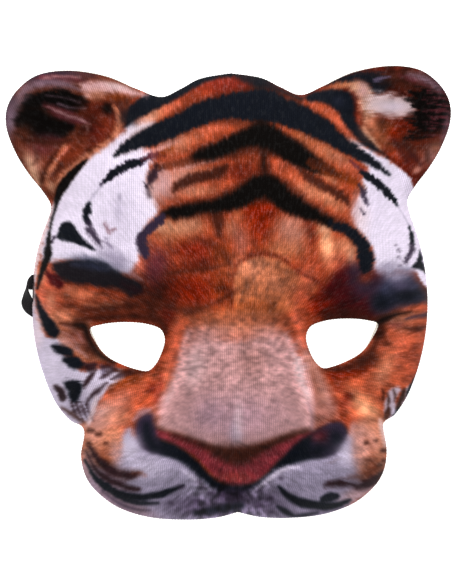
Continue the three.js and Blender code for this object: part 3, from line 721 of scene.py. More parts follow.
STRIPE_PRINT = [
    # The dark line down the middle, under the stripes that cross it
    ("umber", [(11, 88, 2.6), (11.5, 78, 3.2), (12, 68, 3.8), (12.6, 60, 2.6), (13, 54, 1.6),
     (13.2, 47, 2.2), (13, 32, 0.5)], 2.6, 0.4, 0.85),
    ("black", [(11, 86, 1.4), (11.6, 76, 2.4), (12.2, 67, 2.6), (12.8, 60, 1), (13.2, 54, 0.6),
     (13.2, 46, 0.9), (13, 40, 0.3)], 2.2, 0.5, 0.85),
    # The long stripes across the forehead, from the crown down
    ("ink", [(-46, 69), (-43, 73), (-38, 77), (-33, 80), (-27, 80), (-20, 84), (-10, 88.4), (2, 90),
     (2, 87), (-8, 85.2), (-14, 82.2), (-20, 78.6), (-25, 75.8), (-29, 73.8), (-33, 71.8), (-38, 69.2),
     (-43, 66)], 1, 0.3),
    ("ink", [(-1, 88.4, 0.8), (5, 86.6, 2), (11, 85, 3.2), (15, 83, 2.2), (21, 80.4, 1.2), (28, 77.6, 0.9)],
     1.6, 0.3, 0.85),
    ("umber", [(-46, 55.4, 0.3), (-38, 60.4, 3.2), (-28, 64.2, 4.6), (-12, 71.8, 5.4), (2, 74.6, 6.6),
     (12, 75.4, 6.8), (22, 72.8, 6), (36, 65.6, 5), (50, 56, 2.4)], 1.6, 0.4, 0.65),
    ("ink", [(-46.6, 55, 0.4), (-43, 57.7, 1.6), (-38, 60.2, 2.7), (-30, 63.4, 3.7), (-20, 68, 4.1),
     (-10, 72.6, 4.4), (0, 74.8, 5), (7, 75, 5.8), (14, 75, 6.4), (20, 73, 5.2), (28, 70, 5),
     (36, 65.8, 4.2), (44, 60, 2.9), (50, 56.2, 2.3), (57, 52, 1.7), (63.4, 47.2, 0.4)], 0.9, 0.4),
    ("plum", [(-33.5, 42.6, 0.6), (-32.6, 45, 1.3), (-30.4, 48.4, 1.5), (-27.5, 50, 1.1)], 0.9, 0.5, 0.85),
    ("brown", [(-29, 50, 1.1), (-22, 51.4, 1.4), (-16, 53, 1.7), (-12, 55, 2.2)], 1.2, 0.5, 0.95),
    ("umber", [(-14, 54.6, 2.4), (-8, 55.8, 3.8), (0, 58.4, 4.6), (6, 60.4, 5.2), (13, 61.4, 6.2),
     (21, 59, 5.2), (30, 53.6, 4.4), (38, 49.2, 2.4)], 1.8, 0.5, 0.75),
    ("black", [(-14, 54.8, 1.2), (-8, 56, 2.8), (0, 59.4, 3.2), (6, 61.7, 3.5), (13, 63, 4.7),
     (20, 59.4, 4.4), (27, 54.8, 4.2), (34, 50.8, 2.9), (39, 48.6, 0.8)], 1.5, 0.35),
    ("olive", [(33, 51.8, 1.8), (38, 49.2, 1.8), (43, 47, 1.6), (48, 45, 1.5), (52, 42, 1.3)],
     1.2, 0.5, 0.9),
    ("umber", [(33, 52, 2), (38, 49.6, 1.2), (43, 47.2, 0.8)], 1.4, 0.5, 0.8),
    ("plum", [(51.4, 43, 0.9), (53, 39.6, 1), (54, 36, 0.5)], 0.8, 0.5, 0.9),
    ("plum", [(51.8, 33.6, 0.5), (53, 31.8, 0.8)], 0.8, 0.4, 0.85),
    ("umber", [(-1.6, 50.6, 0.8), (-4, 49.4, 2.2), (-7.4, 47.4, 2.4), (-11, 46.4, 1.6)], 1.3, 0.5, 0.95),
    ("umber", [(-9, 47.4, 1.2), (-14, 46, 2.2), (-18, 44.6, 2), (-21.6, 42.6, 1.6), (-23, 40.6, 0.8)],
     1.3, 0.5, 0.95),
    ("soot", [(-30, 50.4, 0.4), (-31.6, 47, 1.3), (-33, 43.4, 1), (-32.4, 38.8, 0.8)], 1.4, 0.6, 0.7),
    ("umber", [(27, 50, 0.8), (31, 46.6, 1.7), (36, 43.4, 1.9), (41, 40.6, 1.5), (45, 38, 1.3),
     (47, 35.4, 0.6)], 1.3, 0.6, 0.9),
    ("umber", [(-27, 32, 1.4), (-20, 32.8, 3.6), (-8, 35, 3.8), (2, 38, 5), (12, 42.4, 6.4), (20, 39.4, 6),
     (28, 34.2, 4.4), (36, 30.4, 3.2), (44, 27, 2.6), (50, 22, 2.6)], 1.8, 0.4, 0.65),
    ("deep_rust", 11, 33, 8, 3.4, 0.85), ("burnt", 4, 47.6, 8, 3, 0.55, 12),
    ("black", [(-27, 31.8, 0.8), (-24, 32.2, 2.1), (-20, 32.4, 2.5), (-15, 33.4, 2.2), (-10, 34.4, 2.3),
     (-5, 35.2, 2.8), (0, 36.7, 3.2), (5, 38.8, 3.8), (10, 42, 4.4), (15, 42.6, 4.4), (20, 38.6, 4.2),
     (25, 35.2, 3.6), (30, 32.6, 2.8), (35, 30.4, 2.2), (40, 27.8, 1.9)], 1.5, 0.4),
    ("ink", [(40, 27.6, 1.4), (45, 26, 2), (49, 23.2, 2.2), (52.3, 19.4, 2.6), (54, 15, 2.9), (54, 11, 2.3),
     (53.4, 8.6, 1)], 1, 0.5),
    # Left of the forehead
    ("plum", [(-52, 43.4, 0.4), (-48.5, 46.5, 1), (-46, 48.8, 1.5), (-43, 50.3, 1.7), (-40, 51.3, 1.5),
     (-36, 52.8, 1.4), (-33, 54.4, 1.1)], 0.7, 0.5),
    ("ink", [(-50.4, 44.6, 0.3), (-46, 48.8, 1.2), (-42, 50.6, 1.3), (-38, 52, 1), (-35, 53.2, 0.6)],
     0.7, 0.4),
    ("dusk", [(-35, 53.6, 0.9), (-31, 55, 1.3), (-27, 56.2, 1)], 0.9, 0.6, 0.85),
    ("olive", [(-28, 56, 0.9), (-24, 57.6, 0.9)], 1, 0.6, 0.8),
    ("lilac_grey", [(-52, 43, 0.4), (-55, 39, 0.5), (-57, 36.4, 0.4)], 0.8, 0.3, 0.5),
    ("ink", [(-57, 35.4, 1.1), (-57.6, 33, 1.6), (-57.8, 30.5, 1.4), (-57, 28, 1.1)], 0.7, 0.35),
    ("plum", [(-57.2, 28, 1), (-56.3, 25.5, 1.1), (-55, 23, 1.4), (-53.4, 20.4, 1.3), (-51.8, 18.4, 0.6)],
     0.8, 0.5, 0.9),
    ("ink", [(-69.8, 22.8), (-69, 25.6), (-67.4, 28), (-65, 28.8), (-62.8, 27.4), (-61.4, 25),
     (-59.6, 22.3), (-56.6, 19.6), (-53.6, 16.8), (-56, 17.4), (-61, 19.4), (-66, 20.4), (-69.4, 22)],
     0.7, 0.25),
    ("plum", [(-70.6, 22.4, 0.7), (-71.8, 20.4, 0.4)], 0.6, 0.3, 0.9),
    ("dusk", [(-50.4, 27.4, 0.4), (-48.8, 25, 0.8), (-46.8, 25.4, 0.3)], 1, 0.5, 0.6),
    ("plum_grey", [(-50, 21.4, 0.4), (-48.6, 19.4, 0.7), (-47.4, 18, 0.5)], 1, 0.6, 0.6),
    ("lilac_grey", -46, 14, 7, 3, 0.85, -30), ("lilac_grey", -45, 33, 2, 4, 0.35),
    ("lilac_grey", -44.6, 38.6, 0.8, 1.6, 0.5),
    ("plum", [(-27.5, 30.8, 1.2), (-29.6, 28.2, 1.8), (-32, 26.5, 1.8), (-34.6, 24, 1.9),
     (-35.8, 21.5, 2.1), (-35.2, 19, 2), (-34.6, 16.5, 1.6), (-34.2, 14.4, 0.8)], 0.9, 0.5),
    # Right of the forehead
    ("dusk", [(47, 53.4, 0.3), (50.4, 50.6, 0.8), (53.4, 48.2, 1)], 0.8, 0.5, 0.9),
    ("ink", [(52, 48.4, 0.8), (57, 45.2, 1.3), (60, 43, 1.4), (62, 40.6, 1.2), (64, 38.2, 1),
     (66.4, 35.2, 0.3)], 0.6, 0.5),
    ("lilac_grey", [(66.5, 35, 0.2), (69, 31, 0.3), (71, 27.5, 0.3)], 0.6, 0.2, 0.5),
    ("ink", [(71.4, 26.4, 0.5), (72.2, 23, 0.9), (72.6, 20, 0.8)], 0.6, 0.3),
    ("plum", [(72.4, 19, 0.8), (71.8, 16.2, 0.9), (70.9, 14, 0.9), (70, 12.4, 0.5)], 0.8, 0.6, 0.9),
    ("ink", [(75.6, 17), (77.4, 10.5), (78.6, 8), (75.5, 9.4), (72.6, 10.4), (74.4, 13)], 0.6, 0.3),
    *spots("plum", [(66, 19, 0.5), (66.8, 17, 0.6), (67.2, 14, 0.6), (69, 12.6, 0.6), (67.4, 11.4, 0.6)],
          0.9, 0.5, 0.6),
]
CHEEK_PRINT = [
    # Left cheek
    ("salmon", -74, -5, 6, 5, 0.8), ("sand", -72, -3, 2, 4, 0.4), ("tan", -68, -8, 6, 2.4, 0.7),
    ("tan", -60, -1, 9, 2, 0.4),
    ("tan", [(-73, -9), (-60, -10), (-55, -14), (-52, -22), (-50, -27), (-58, -28), (-64, -24), (-70, -19)],
     1.8, 0.7, 0.9),
    ("brown", -62, -16, 9, 5, 0.6), ("umber", -56, -23, 5, 4, 0.8, -45), ("ochre", -63, -14, 5, 3, 0.55),
    ("dusty_rose", -67, -20, 3, 3, 0.6), ("dusk", -60, -17, 7, 4, 0.35, -30),
    ("rose_grey", [(-69.4, -15.3, 0.2), (-64.9, -16.8, 0.5), (-60.9, -21.3, 0.2)], 1.1, 0.6, 0.5),
    ("rose_grey", [(-66.4, -13, 0.2), (-62.4, -15, 0.5), (-59.4, -19.3, 0.2)], 1.1, 0.6, 0.4),
    ("rose_grey", [(-64.9, -19.8, 0.2), (-61.4, -22.3, 0.5), (-57.4, -25.8, 0.2)], 1.1, 0.6, 0.5),
    ("umber", [(-68, -12, 0.4), (-64, -12.6, 1), (-60, -13.4, 1.6)], 1.2, 0.4, 0.8),
    # Black round the eye's outer and lower edge: the fur's dark rim, with painted shade in the fold by the eye
    # hole
    ("black", [(-62, -12.6, 0.5), (-58.6, -13.4, 1.3), (-57.4, -17, 1.2), (-55, -21.6, 0.8),
     (-51.5, -25.4, 1.2), (-47, -28, 0.9)], 1.8, 0.3, 0.9),
    ("orange", [(-45, -31), (-38, -32), (-30, -31), (-26, -26), (-24, -36), (-28, -46), (-36, -49),
     (-42, -52), (-54, -56), (-55, -48), (-50, -40)], 1.8, 0.7, 0.95),
    ("olive", -43, -35, 9, 3, 0.85, 14), ("salmon", -42, -41, 9, 3, 0.4, 20),
    # The coral and blush here and on the next line lay a painted highlight on the top of the muzzle's side
    ("coral", -50, -49, 8, 6, 0.98, 30), ("blush", -52, -47, 3, 2.4, 0.3, 30),
    ("coral", -53, -53, 4, 3, 0.8), ("coral", -44, -42, 5, 2.6, 0.35, 25),
    ("rose_tan", -34, -48, 3.4, 2.4, 0.7), ("tan", -45, -50, 6, 3, 0.6), ("burnt", -31, -38, 2.8, 3, 0.9),
    ("rust", -33, -45, 5, 4, 0.6),
    ("lilac", [(-81, 0), (-79, -3), (-77.6, -9), (-74.6, -17), (-69, -19), (-66, -25), (-60, -31),
     (-54, -30), (-46, -30), (-43, -33), (-50, -39), (-54, -45), (-56.4, -51), (-58, -56), (-66, -52),
     (-74, -42), (-80, -26), (-83, -10)], 1.2, 0.6),
    ("blush", -77, -14, 3, 9, 0.6, -6), ("lilac_white", -72, -28, 4, 8, 0.6),
    ("lilac_grey", -60, -46, 7, 5, 0.6, -40),
    ("ink", [(-71.4, -21.3, 0.5), (-69.4, -22, 1.7), (-66.4, -23.3, 2.2), (-63.9, -24.6, 1)], 1, 0.35),
    ("ink", [(-65.9, -26.8, 1.4), (-62.9, -27.6, 2.6), (-60.2, -28.8, 1.6)], 1, 0.4),
    ("soot", [(-57.9, -29.3, 1.3), (-56.2, -29.8, 1.9), (-54.4, -28.6, 1.2)], 1.3, 0.5, 0.95),
    ("plum_grey", [(-51.9, -28.8, 0.8), (-50.9, -31.3, 1.2), (-51.4, -33.8, 0.6)], 1.2, 0.4, 0.7),
    ("soot", [(-53.9, -30.8, 0.6), (-56.1, -33.3, 1), (-57.4, -35.3, 1), (-58.9, -37.3, 0.9)],
     0.9, 0.4, 0.9),
    ("ink", [(-67.2, -35.8), (-63.9, -34.6), (-60.2, -35.6), (-59.2, -37.8), (-60.2, -41.3), (-62.4, -44),
     (-64.6, -42.8), (-65.6, -39.3)], 1.1, 0.6),
    ("soot", [(-70.4, -37.3, 0.6), (-68.6, -38.8, 1.5), (-67.4, -41.6, 1.5)], 0.9, 0.4, 0.95),
    ("soot", [(-57.9, -44.3, 0.5), (-55.4, -40.8, 1), (-51.9, -37.8, 0.8), (-49.4, -36, 0.4)],
     0.9, 0.4, 0.85),
    ("soot", [(-52.4, -34, 0.4), (-49.4, -32.3, 1.2), (-46.4, -30.8, 1)], 0.9, 0.4, 0.8),
    ("soot", [(-47.9, -34.6, 0.4), (-44.4, -33, 1.1), (-40.4, -31.6, 1)], 0.9, 0.4, 0.8),
    ("soot", [(-51.9, -29.8, 0.8), (-49.4, -29.3, 1.2), (-46.9, -30, 0.6)], 0.9, 0.4, 0.8),
    *tufts("soot", [(-64, -43.5), (-61.9, -43.9), (-59.8, -44.3), (-57.7, -44.7)],
            [(0, 0, 0.3), (1, -3, 0.7), (2.6, -6.6, 0.2)], 0.9, 0.7, 0.75),
    ("umber", [(-67.9, -45.8, 0.4), (-63.9, -48.3, 0.9), (-59.4, -51.3, 0.8), (-57.4, -53.3, 0.3)],
     1, 0.4, 0.8),
    # A painted highlight along the muzzle's left edge
    ("blush", [(-54, -42, 0.6), (-55.6, -48, 1), (-57.4, -53, 0.8)], 1, 0.4, 0.7),
    ("umber", [(-46, -31, 0.8), (-38, -31.6, 1.1), (-33, -31.2, 0.8)], 1.2, 0.3, 0.8),
    # Right cheek
    ("orange", [(60, -10.5), (66, -8.6), (80, -5), (80, -30), (72, -39), (62, -44), (62, -52), (54, -50),
     (46, -48), (38, -38), (36, -32), (44, -28), (52, -24), (58, -16)], 1.4, 0.7, 0.97),
    ("salmon", 69, -21, 6, 6, 0.75), ("rust", 73, -27, 5, 8, 0.7), ("tan", 69, -14, 6, 2, 0.5),
    ("dusk", 66, -12, 4.6, 2.4, 0.7), ("salmon", 70, -28, 4, 4, 0.4), ("umber", 54, -28, 8, 4, 0.9, 30),
    ("umber", 60, -15, 3, 6, 0.9), ("tan", 61, -31, 3.6, 8, 0.85, -25), ("tan", 68, -10, 8, 2.6, 0.8, 6),
    ("deep_rust", 44, -32, 11, 3.4, 0.9, 14), ("orange", 50, -39, 8, 3, 0.7),
    # The peach wash is a painted highlight on the top of the muzzle's side
    ("brick", 46, -44, 4, 2.6, 0.6), ("peach", 54, -45.6, 8, 4, 0.95, -45),
    ("black", [(57, -13, 1.2), (61, -10.6, 1.5), (66, -8.6, 0.9), (72, -7.6, 0.4)], 1.4, 0.3, 0.9),
    ("plum", [(70, -10.4, 0.4), (74, -9.4, 0.9), (79, -8.6, 1.1)], 1, 0.4, 0.85),
    ("umber", [(70, -14, 0.5), (74, -14.6, 1.2), (79, -13, 1)], 1.3, 0.5, 0.75),
    ("umber", [(77.8, -22, 0.5), (77, -27, 0.8), (75.6, -31, 0.6)], 0.8, 0.4, 0.9),
    ("lilac_white", [(76.4, -33), (73.6, -35.4), (69.6, -39), (67, -44), (64, -48), (60.6, -51), (64, -54),
     (74, -52), (79, -38)], 1, 0.6),
    ("lilac", [(62.4, -41), (64.6, -38), (67.6, -38.4), (65.8, -44), (66, -50), (62.4, -50), (61.4, -45)],
     1, 0.6, 0.9),
    ("ink", [(75.4, -31.4, 0.6), (74, -35, 1.3), (71.8, -38.6, 1.1), (70.8, -40.8, 0.5)], 0.7, 0.4),
    ("umber", [(69.4, -38.6, 0.5), (68.4, -42, 1.1), (66.8, -45.6, 0.8)], 0.8, 0.4),
    ("ink", [(65.8, -49.4, 1), (67.8, -47.2, 1.3), (70.4, -44.6, 0.8)], 0.7, 0.3),
    ("umber", [(63, -46, 0.6), (62.6, -48.4, 1.2), (61.4, -51.4, 1)], 0.8, 0.3, 0.95),
    *tufts("umber", [(60.4, -38.4), (62.6, -40.4), (65, -38.8)],
            [(0, 0, 0.3), (0.6, -2, 0.7), (0.2, -4.4, 0.3)], 0.8, 0.4, 0.8),
    ("burnt", 46.6, -41.4, 2.2, 2, 0.9), ("burnt", 43, -38, 3, 2, 0.6),
    # Umber along the eye's lower edge: the fur's dark rim, with painted shade in the fold by the eye hole
    ("umber", [(38, -30.6, 0.6), (44, -30.4, 1.2), (51, -28.4, 2.2), (57, -22, 1.6), (59.4, -14, 1)],
     1.8, 0.4, 0.85),
]
NOSE_PRINT = [
    # The bridge, with short level hairs, and painted highlights along both edges and down the middle of its
    # lower part
    ("rose_tan", [(27, -18), (32, -23), (36, -31), (41, -42), (42, -49), (36, -52), (31, -53), (30, -40)],
     2.4, 0.8, 0.85),
    ("tan", [(28, -24), (34, -27), (39, -38), (38, -46), (32, -40)], 3, 0.8, 0.4),
    ("rose_tan", [(-16, -19), (-8, -17), (0, -18), (12, -17), (20, -17), (25, -22), (30, -36), (33, -50),
     (32, -56), (22, -59), (10, -63), (0, -65), (-10, -63), (-20, -58), (-30, -55), (-29.4, -47),
     (-25, -34), (-20.6, -25)], 4, 0.7),
    ("olive", 4, -10, 18, 4, 0.8), ("tan", 3, -11, 21, 4.6, 0.7), ("brown", 3, -11.4, 19, 3.2, 0.6),
    ("tan", 3, -14, 19, 4, 0.4), ("rose_tan", -6, -15.6, 11, 3, 0.5), ("rose_tan", 13, -15.4, 8, 3, 0.4),
    ("rose_tan", -12, -18, 6, 5, 0.6), ("rose_tan", 16, -19, 7, 5, 0.6), ("rose_grey", 2, -50, 20, 10, 0.9),
    ("plum_grey", -10, -48, 6, 8, 0.18), ("lilac_grey", 2, -57, 3, 6, 0.5), ("blush", 3, -52, 2, 9, 0.35),
    ("brown", 8, -26, 7, 7, 0.2), ("blush", -15, -30, 5, 8, 0.35, -15), ("rose", 20, -32, 5, 8, 0.25, 15),
    # Painted highlights down both edges of the bridge
    ("rose", [(-17.4, -15.8, 0.8), (-20.4, -24.8, 2.2), (-22.4, -32.8, 3.4), (-24.9, -40.8, 3),
     (-26.6, -47.8, 1.6)], 2.8, 1, 0.85),
    ("rose", [(22.1, -17.8, 0.8), (24.1, -22.8, 2), (26.4, -29.8, 3), (29.1, -38.8, 3.2), (31.6, -46.8, 2),
     (31.1, -52.8, 1)], 2.6, 0.9, 0.95),
    ("blush", [(25.6, -24.8, 0.5), (27.8, -32.8, 1.4), (30.6, -41.8, 1)], 2, 0.9, 0.7),
    ("blush", [(-22.9, -31.8, 0.5), (-24.4, -37.8, 1.2), (-25.4, -42.8, 0.5)], 2, 0.9, 0.5),
    ("rose_grey", [(31, -44, 0.4), (32.6, -50, 0.8), (32, -55, 0.5)], 0.9, 0.3, 0.6),
    # Beside the bridge
    ("orange", [(-20, -12, 1.6), (-23, -20, 2), (-24.6, -30, 2), (-27, -38, 1.6)], 2.8, 0.7, 0.95),
    ("salmon", [(-21.4, -13, 0.8), (-22.6, -22, 1.4), (-24, -31, 0.8)], 2.4, 0.7, 0.8),
    ("burnt", [(-25, -9, 2.2), (-26.4, -13, 1.4), (-27.4, -17, 0.6)], 1.6, 0.4, 0.85),
    ("brick", [(-28, -33, 0.6), (-28.4, -38, 1), (-30, -43, 1)], 1.6, 0.4, 0.6),
    ("salmon", [(25.6, -9.3, 1.6), (28.1, -14.8, 1.6), (29.4, -21.8, 1)], 1.8, 0.4, 0.9),
    # Brown mottles down the bridge's right foot; the two brown washes below them are painted shade beside the
    # nostril
    ("brown", [(32.8, -31.8, 0.3), (33.8, -38.8, 0.8), (34.6, -45.8, 1), (34.4, -52.8, 1.2)],
     2.2, 0.6, 0.5),
    *spots("brown", [(40, -40, 0.8), (38, -34, 0.7), (41.6, -44, 0.9), (37, -45, 0.8), (39.4, -37, 0.6)],
          1.4, 0.6, 0.5),
    ("brown", 38, -50, 5, 2.6, 0.5), ("brown", 40, -47, 3, 3, 0.4),
    # The dark shadow above the nose leather, the leather itself, and the black line round it
    ("umber", [(-31, -53.6), (-22, -56), (-14, -58.6), (-6, -61), (0, -62.4), (6, -61.6), (14, -58.8),
     (24, -55.4), (31, -54), (31, -57), (20, -61), (8, -66.6), (0, -67.6), (-8, -66), (-20, -61),
     (-31, -57)], 1.8, 0.2, 0.8),
    ("nose_red", [(-30.6, -54.8), (-26.4, -55.6), (-19.4, -57.8), (-12.4, -60.3), (-5.9, -64), (-1.4, -66),
     (2.6, -66.3), (7.6, -64.8), (13.6, -62.6), (20.6, -59.3), (27.6, -56.8), (32.6, -56), (32.1, -58.8),
     (25.6, -62.8), (19.6, -66.8), (14.6, -71.8), (9.6, -75.6), (2.6, -77.3), (-4.4, -75.3), (-9.4, -70.3),
     (-14.4, -65.3), (-21.4, -60.8), (-29.4, -58)], 1, 0.2),
    ("rust", 1, -73.6, 8, 2.6, 0.3), ("nose_red", -20, -61, 5, 1.4, 0.5, -25),
    ("umber", [(-24.4, -57, 0.3), (-14.4, -60, 0.9), (-5.4, -63.8, 1.6), (2.1, -66, 2.4), (9.6, -63.8, 1.6),
     (17.6, -60, 0.9), (25.6, -57.3, 0.3)], 2, 0.2, 0.85),
    ("umber", 2, -62.6, 9, 3.2, 0.6),
    ("lilac_grey", [(-38.4, -60.8, 3), (-31.4, -65.8, 3), (-22.4, -67.8, 4), (-9.9, -78.8, 4),
     (2.6, -82.8, 3), (14.6, -78.3, 4), (24.6, -69.8, 4), (38.6, -64.8, 4), (48.6, -60.8, 3)], 1.8, 0.2),
    ("umber", 3, -65.4, 7, 3.6, 0.8),
    ("ink", [(-34.4, -58.8, 2.4), (-28.4, -61.6, 3.2), (-22.4, -63.8, 2.9), (-15.4, -68.8, 2.6),
     (-9.9, -74.8, 2.6), (-4.4, -78, 2.4), (2.6, -79.4, 2.6), (9.6, -77.8, 2.2), (14.6, -74.3, 1.8),
     (19.6, -69.3, 2), (24.6, -65.8, 3), (29.6, -62.8, 4.4), (34.6, -60.8, 5.4), (38.6, -58.8, 5.4),
     (42.6, -56.3, 4)], 1.4, 0.2),
    ("plum", [(-38.4, -52.8), (-36.9, -49.8), (-33.9, -48), (-31.4, -48.8), (-30.4, -52.8), (-29.4, -57.8),
     (-27.9, -63.8), (-32.4, -64.3), (-36.9, -61.3), (-38.6, -56.8)], 1.8, 0.2),
    ("ink", [(-33.9, -52.8, 1.4), (-33.4, -57.8, 2.4), (-30.9, -61.8, 2)], 2, 0.2, 0.9),
    ("plum", [(35.6, -54.8), (39.6, -52), (43.6, -51.6), (46.1, -54.8), (46.1, -59.8), (42.6, -64.3),
     (35.6, -65.3), (31.6, -63.8), (32.6, -58.8)], 1.8, 0.2),
    ("wine", 36, -57, 4, 3, 0.95), ("dusk", 34.6, -57.4, 2.4, 1.6, 0.5), ("ink", 42, -58, 3.4, 4, 0.9),
    ("ink", 35, -63, 7, 2.6, 0.9), ("ink", -28, -63, 4, 2, 0.8, -30),
    ("rose_grey", [(-38.9, -50.8, 0.5), (-35.9, -47.6, 0.9), (-32.4, -46.8, 0.5)], 1.3, 0.3, 0.7),
]
MUZZLE_PRINT = [
    ("lilac_grey", [(-40, -54), (-38, -62), (-30, -65.4), (-20, -68.4), (-9, -77), (0, -82), (8, -79),
     (18, -71), (30, -68), (42, -66), (47, -57), (54, -62), (57, -72), (60, -76), (48, -84), (36, -92),
     (-36, -92), (-52, -86), (-61, -76), (-60, -68), (-48, -66), (-44, -58)], 1.8, 0.5),
    ("lilac", -41, -62, 5, 6, 0.9), ("lilac", -34, -70, 9, 5, 0.6), ("lilac", 47, -65, 5, 5, 0.8, -20),
    # A painted highlight at the top right of the muzzle
    ("lilac", 49, -56, 2, 4, 0.6),
    # Painted highlights along the pads' upper edges, under the black line
    ("lilac", [(-20, -70.6, 0.3), (-14, -75, 0.7), (-10, -79, 0.4)], 1, 0, 0.6),
    ("lilac", [(10, -78.6, 0.3), (15, -74.6, 0.8), (21, -70.6, 0.7), (27, -69.6, 0.4)], 0.9, 0, 0.9),
    ("tan", [(-60, -53), (-54, -55), (-45, -54), (-44, -60), (-46, -66), (-52, -68), (-58, -68),
     (-61, -62)], 2.2, 0.7),
    ("coral", -55, -56, 4, 4, 0.8), ("brown", -50, -64, 4, 3, 0.6), ("dusty_rose", -46, -64, 3, 5, 0.7),
    ("olive", -51, -68, 5, 2.4, 0.7),
    ("tan", [(50, -52), (58, -50), (64, -54), (64, -70), (60, -76), (53, -75), (50, -64)], 3, 0.8),
    ("dusty_rose", 52, -58, 3, 6, 0.6), ("ochre", 56, -68, 4, 5, 0.7), ("rose_tan", 52, -64, 4, 8, 0.6),
    ("brown", 57, -70, 4, 4, 0.5), ("coral", 55, -60, 4.6, 6, 0.95),
    # A painted highlight along the muzzle's right edge
    ("blush", [(59.6, -51, 0.6), (61, -55, 1.3), (62, -61, 0.8)], 1.2, 0.3, 0.7),
    # The plum-grey and plum washes under the muzzle are the print's grey fur with painted shade where it turns
    # under
    ("plum_grey", -14, -85, 14, 5, 0.95), ("plum_grey", 14, -84, 13, 6, 0.9),
    ("lilac_grey", 23, -83, 6, 3, 0.35), ("plum_grey", 38, -87, 12, 2.6, 0.5, 12),
    ("plum", 1, -82, 8, 4, 0.95), ("plum", -8, -87.6, 12, 2, 0.6), ("dusty_rose", 51, -80, 9, 3, 0.75, 26),
    ("rose_grey", -50, -78, 10, 6, 0.75, -38), ("rose_tan", -58, -70, 3, 6, 0.6),
    ("rose_tan", -56.4, -66, 3, 4, 0.7), ("rose_grey", -40, -86, 12, 3, 0.7, -22),
    # Rows of dark marks where whiskers grow, left then right
    ("umber", [(-56.4, -61.3, 0.5), (-53.4, -66.3, 1.6), (-49.4, -69.8, 2.2), (-45.4, -72, 2.2),
     (-40.9, -73, 1.9), (-36.9, -72, 0.8)], 1.8, 0.6, 0.7),
    ("soot", [(-56.4, -61.8, 0.3), (-53.4, -66.6, 1.1), (-49.4, -70, 1.6), (-46.4, -71.6, 1.4)],
     1.2, 0.6, 0.95),
    ("soot", [(-43.9, -72.4, 1), (-40.9, -73, 1.6), (-37.4, -72.2, 0.6)], 1.2, 0.6, 0.9),
    ("brown", [(-39.4, -71.8, 0.8), (-36.4, -71.8, 1), (-34.4, -72.8, 0.5)], 1.2, 0.5, 0.5),
    ("soot", [(-57.9, -63.3, 0.4), (-54.4, -70.3, 1.1), (-49.9, -74, 1.5), (-45.4, -76.3, 1.3),
     (-40.4, -78, 1.4), (-36.9, -78.6, 0.6)], 1.2, 0.5, 0.95),
    ("ink", [(-58.4, -66.8, 0.5), (-54.4, -73.6, 0.9), (-49.4, -77.6, 1.3), (-43.4, -80.8, 1.6),
     (-36.4, -81.6, 1.2), (-30.4, -81, 1.3), (-24.4, -79.3, 1.2), (-18.9, -76.8, 0.4)], 0.8, 0.3),
    ("ink", [(-56.4, -71.8, 0.4), (-50.4, -78, 0.8), (-43.4, -82.3, 0.9), (-36.4, -84, 1.1),
     (-29.2, -84, 0.5)], 0.8, 0.3, 0.9),
    ("plum", [(-51.4, -79.3, 0.3), (-44.4, -84.3, 0.7), (-37.4, -86.6, 0.6), (-32.4, -87, 0.3)],
     0.9, 0.3, 0.7),
    ("soot", [(38.1, -76.8, 0.8), (42.6, -76.1, 1.6), (47.6, -76.5, 1.2), (51.6, -77.3, 1.7),
     (56.6, -75.3, 1.9), (60.8, -71.6, 1.2)], 1.4, 0.7, 0.95),
    ("umber", [(47.6, -73.8, 0.8), (53.6, -72.8, 1.6), (59.6, -68.8, 1.2)], 2, 0.6, 0.6),
    ("brown", [(53.6, -56.8, 0.3), (56.6, -62.8, 0.9), (57.6, -68.8, 0.6)], 2, 0.6, 0.5),
    ("umber", [(53.6, -66.8, 0.5), (55.1, -66.8, 1), (56.6, -67.3, 0.6)], 1.3, 0.5, 0.7),
    ("ink", [(36.8, -82.6, 1), (39.1, -81.8, 1.7), (42.1, -81.3, 1.2)], 0.9, 0.4, 0.95),
    ("ink", [(19.1, -77.6, 0.6), (22.1, -80.6, 1.3), (26.6, -83.3, 1.7), (31.6, -84.6, 1.7),
     (37.6, -85.3, 1.5), (42.6, -84.8, 1.2), (47.6, -82.8, 0.4)], 0.9, 0.35),
    ("ink", [(18.8, -85.3, 0.6), (21.6, -87.3, 1.3), (24.1, -88.6, 0.9)], 0.9, 0.3, 0.9),
    ("ink", [(24.1, -89, 0.4), (28.6, -89, 0.8), (34.6, -87.8, 0.4)], 0.9, 0.3, 0.8),
    *spots("plum", [(-13, -75.6, 0.8), (-11.4, -77.8, 1.2), (-8, -80, 1.2), (-4, -80.6, 1.3),
          (11.6, -79, 1), (15.6, -82.2, 1.2), (-14, -83, 1.1), (-20, -77.6, 1.1), (16, -87.6, 1),
          (11, -85, 1), (-24, -84, 0.9), (20, -74, 0.7)], 1.2, 0.4, 0.75),
    *spots("umber", [(61, -63, 1.2), (61.4, -67, 1), (58, -59, 0.7), (54, -60, 0.6), (-53, -56.6, 1.2),
          (-56, -55, 1.2), (-50, -60, 0.8), (-57, -60, 0.8)], 1, 0.4, 0.85),
    ("ink", [(-14, -88, 0.9), (-8, -87, 1.4), (-2, -86, 1.6), (4, -85, 1.2)], 1.5, 0.4, 0.85),
]
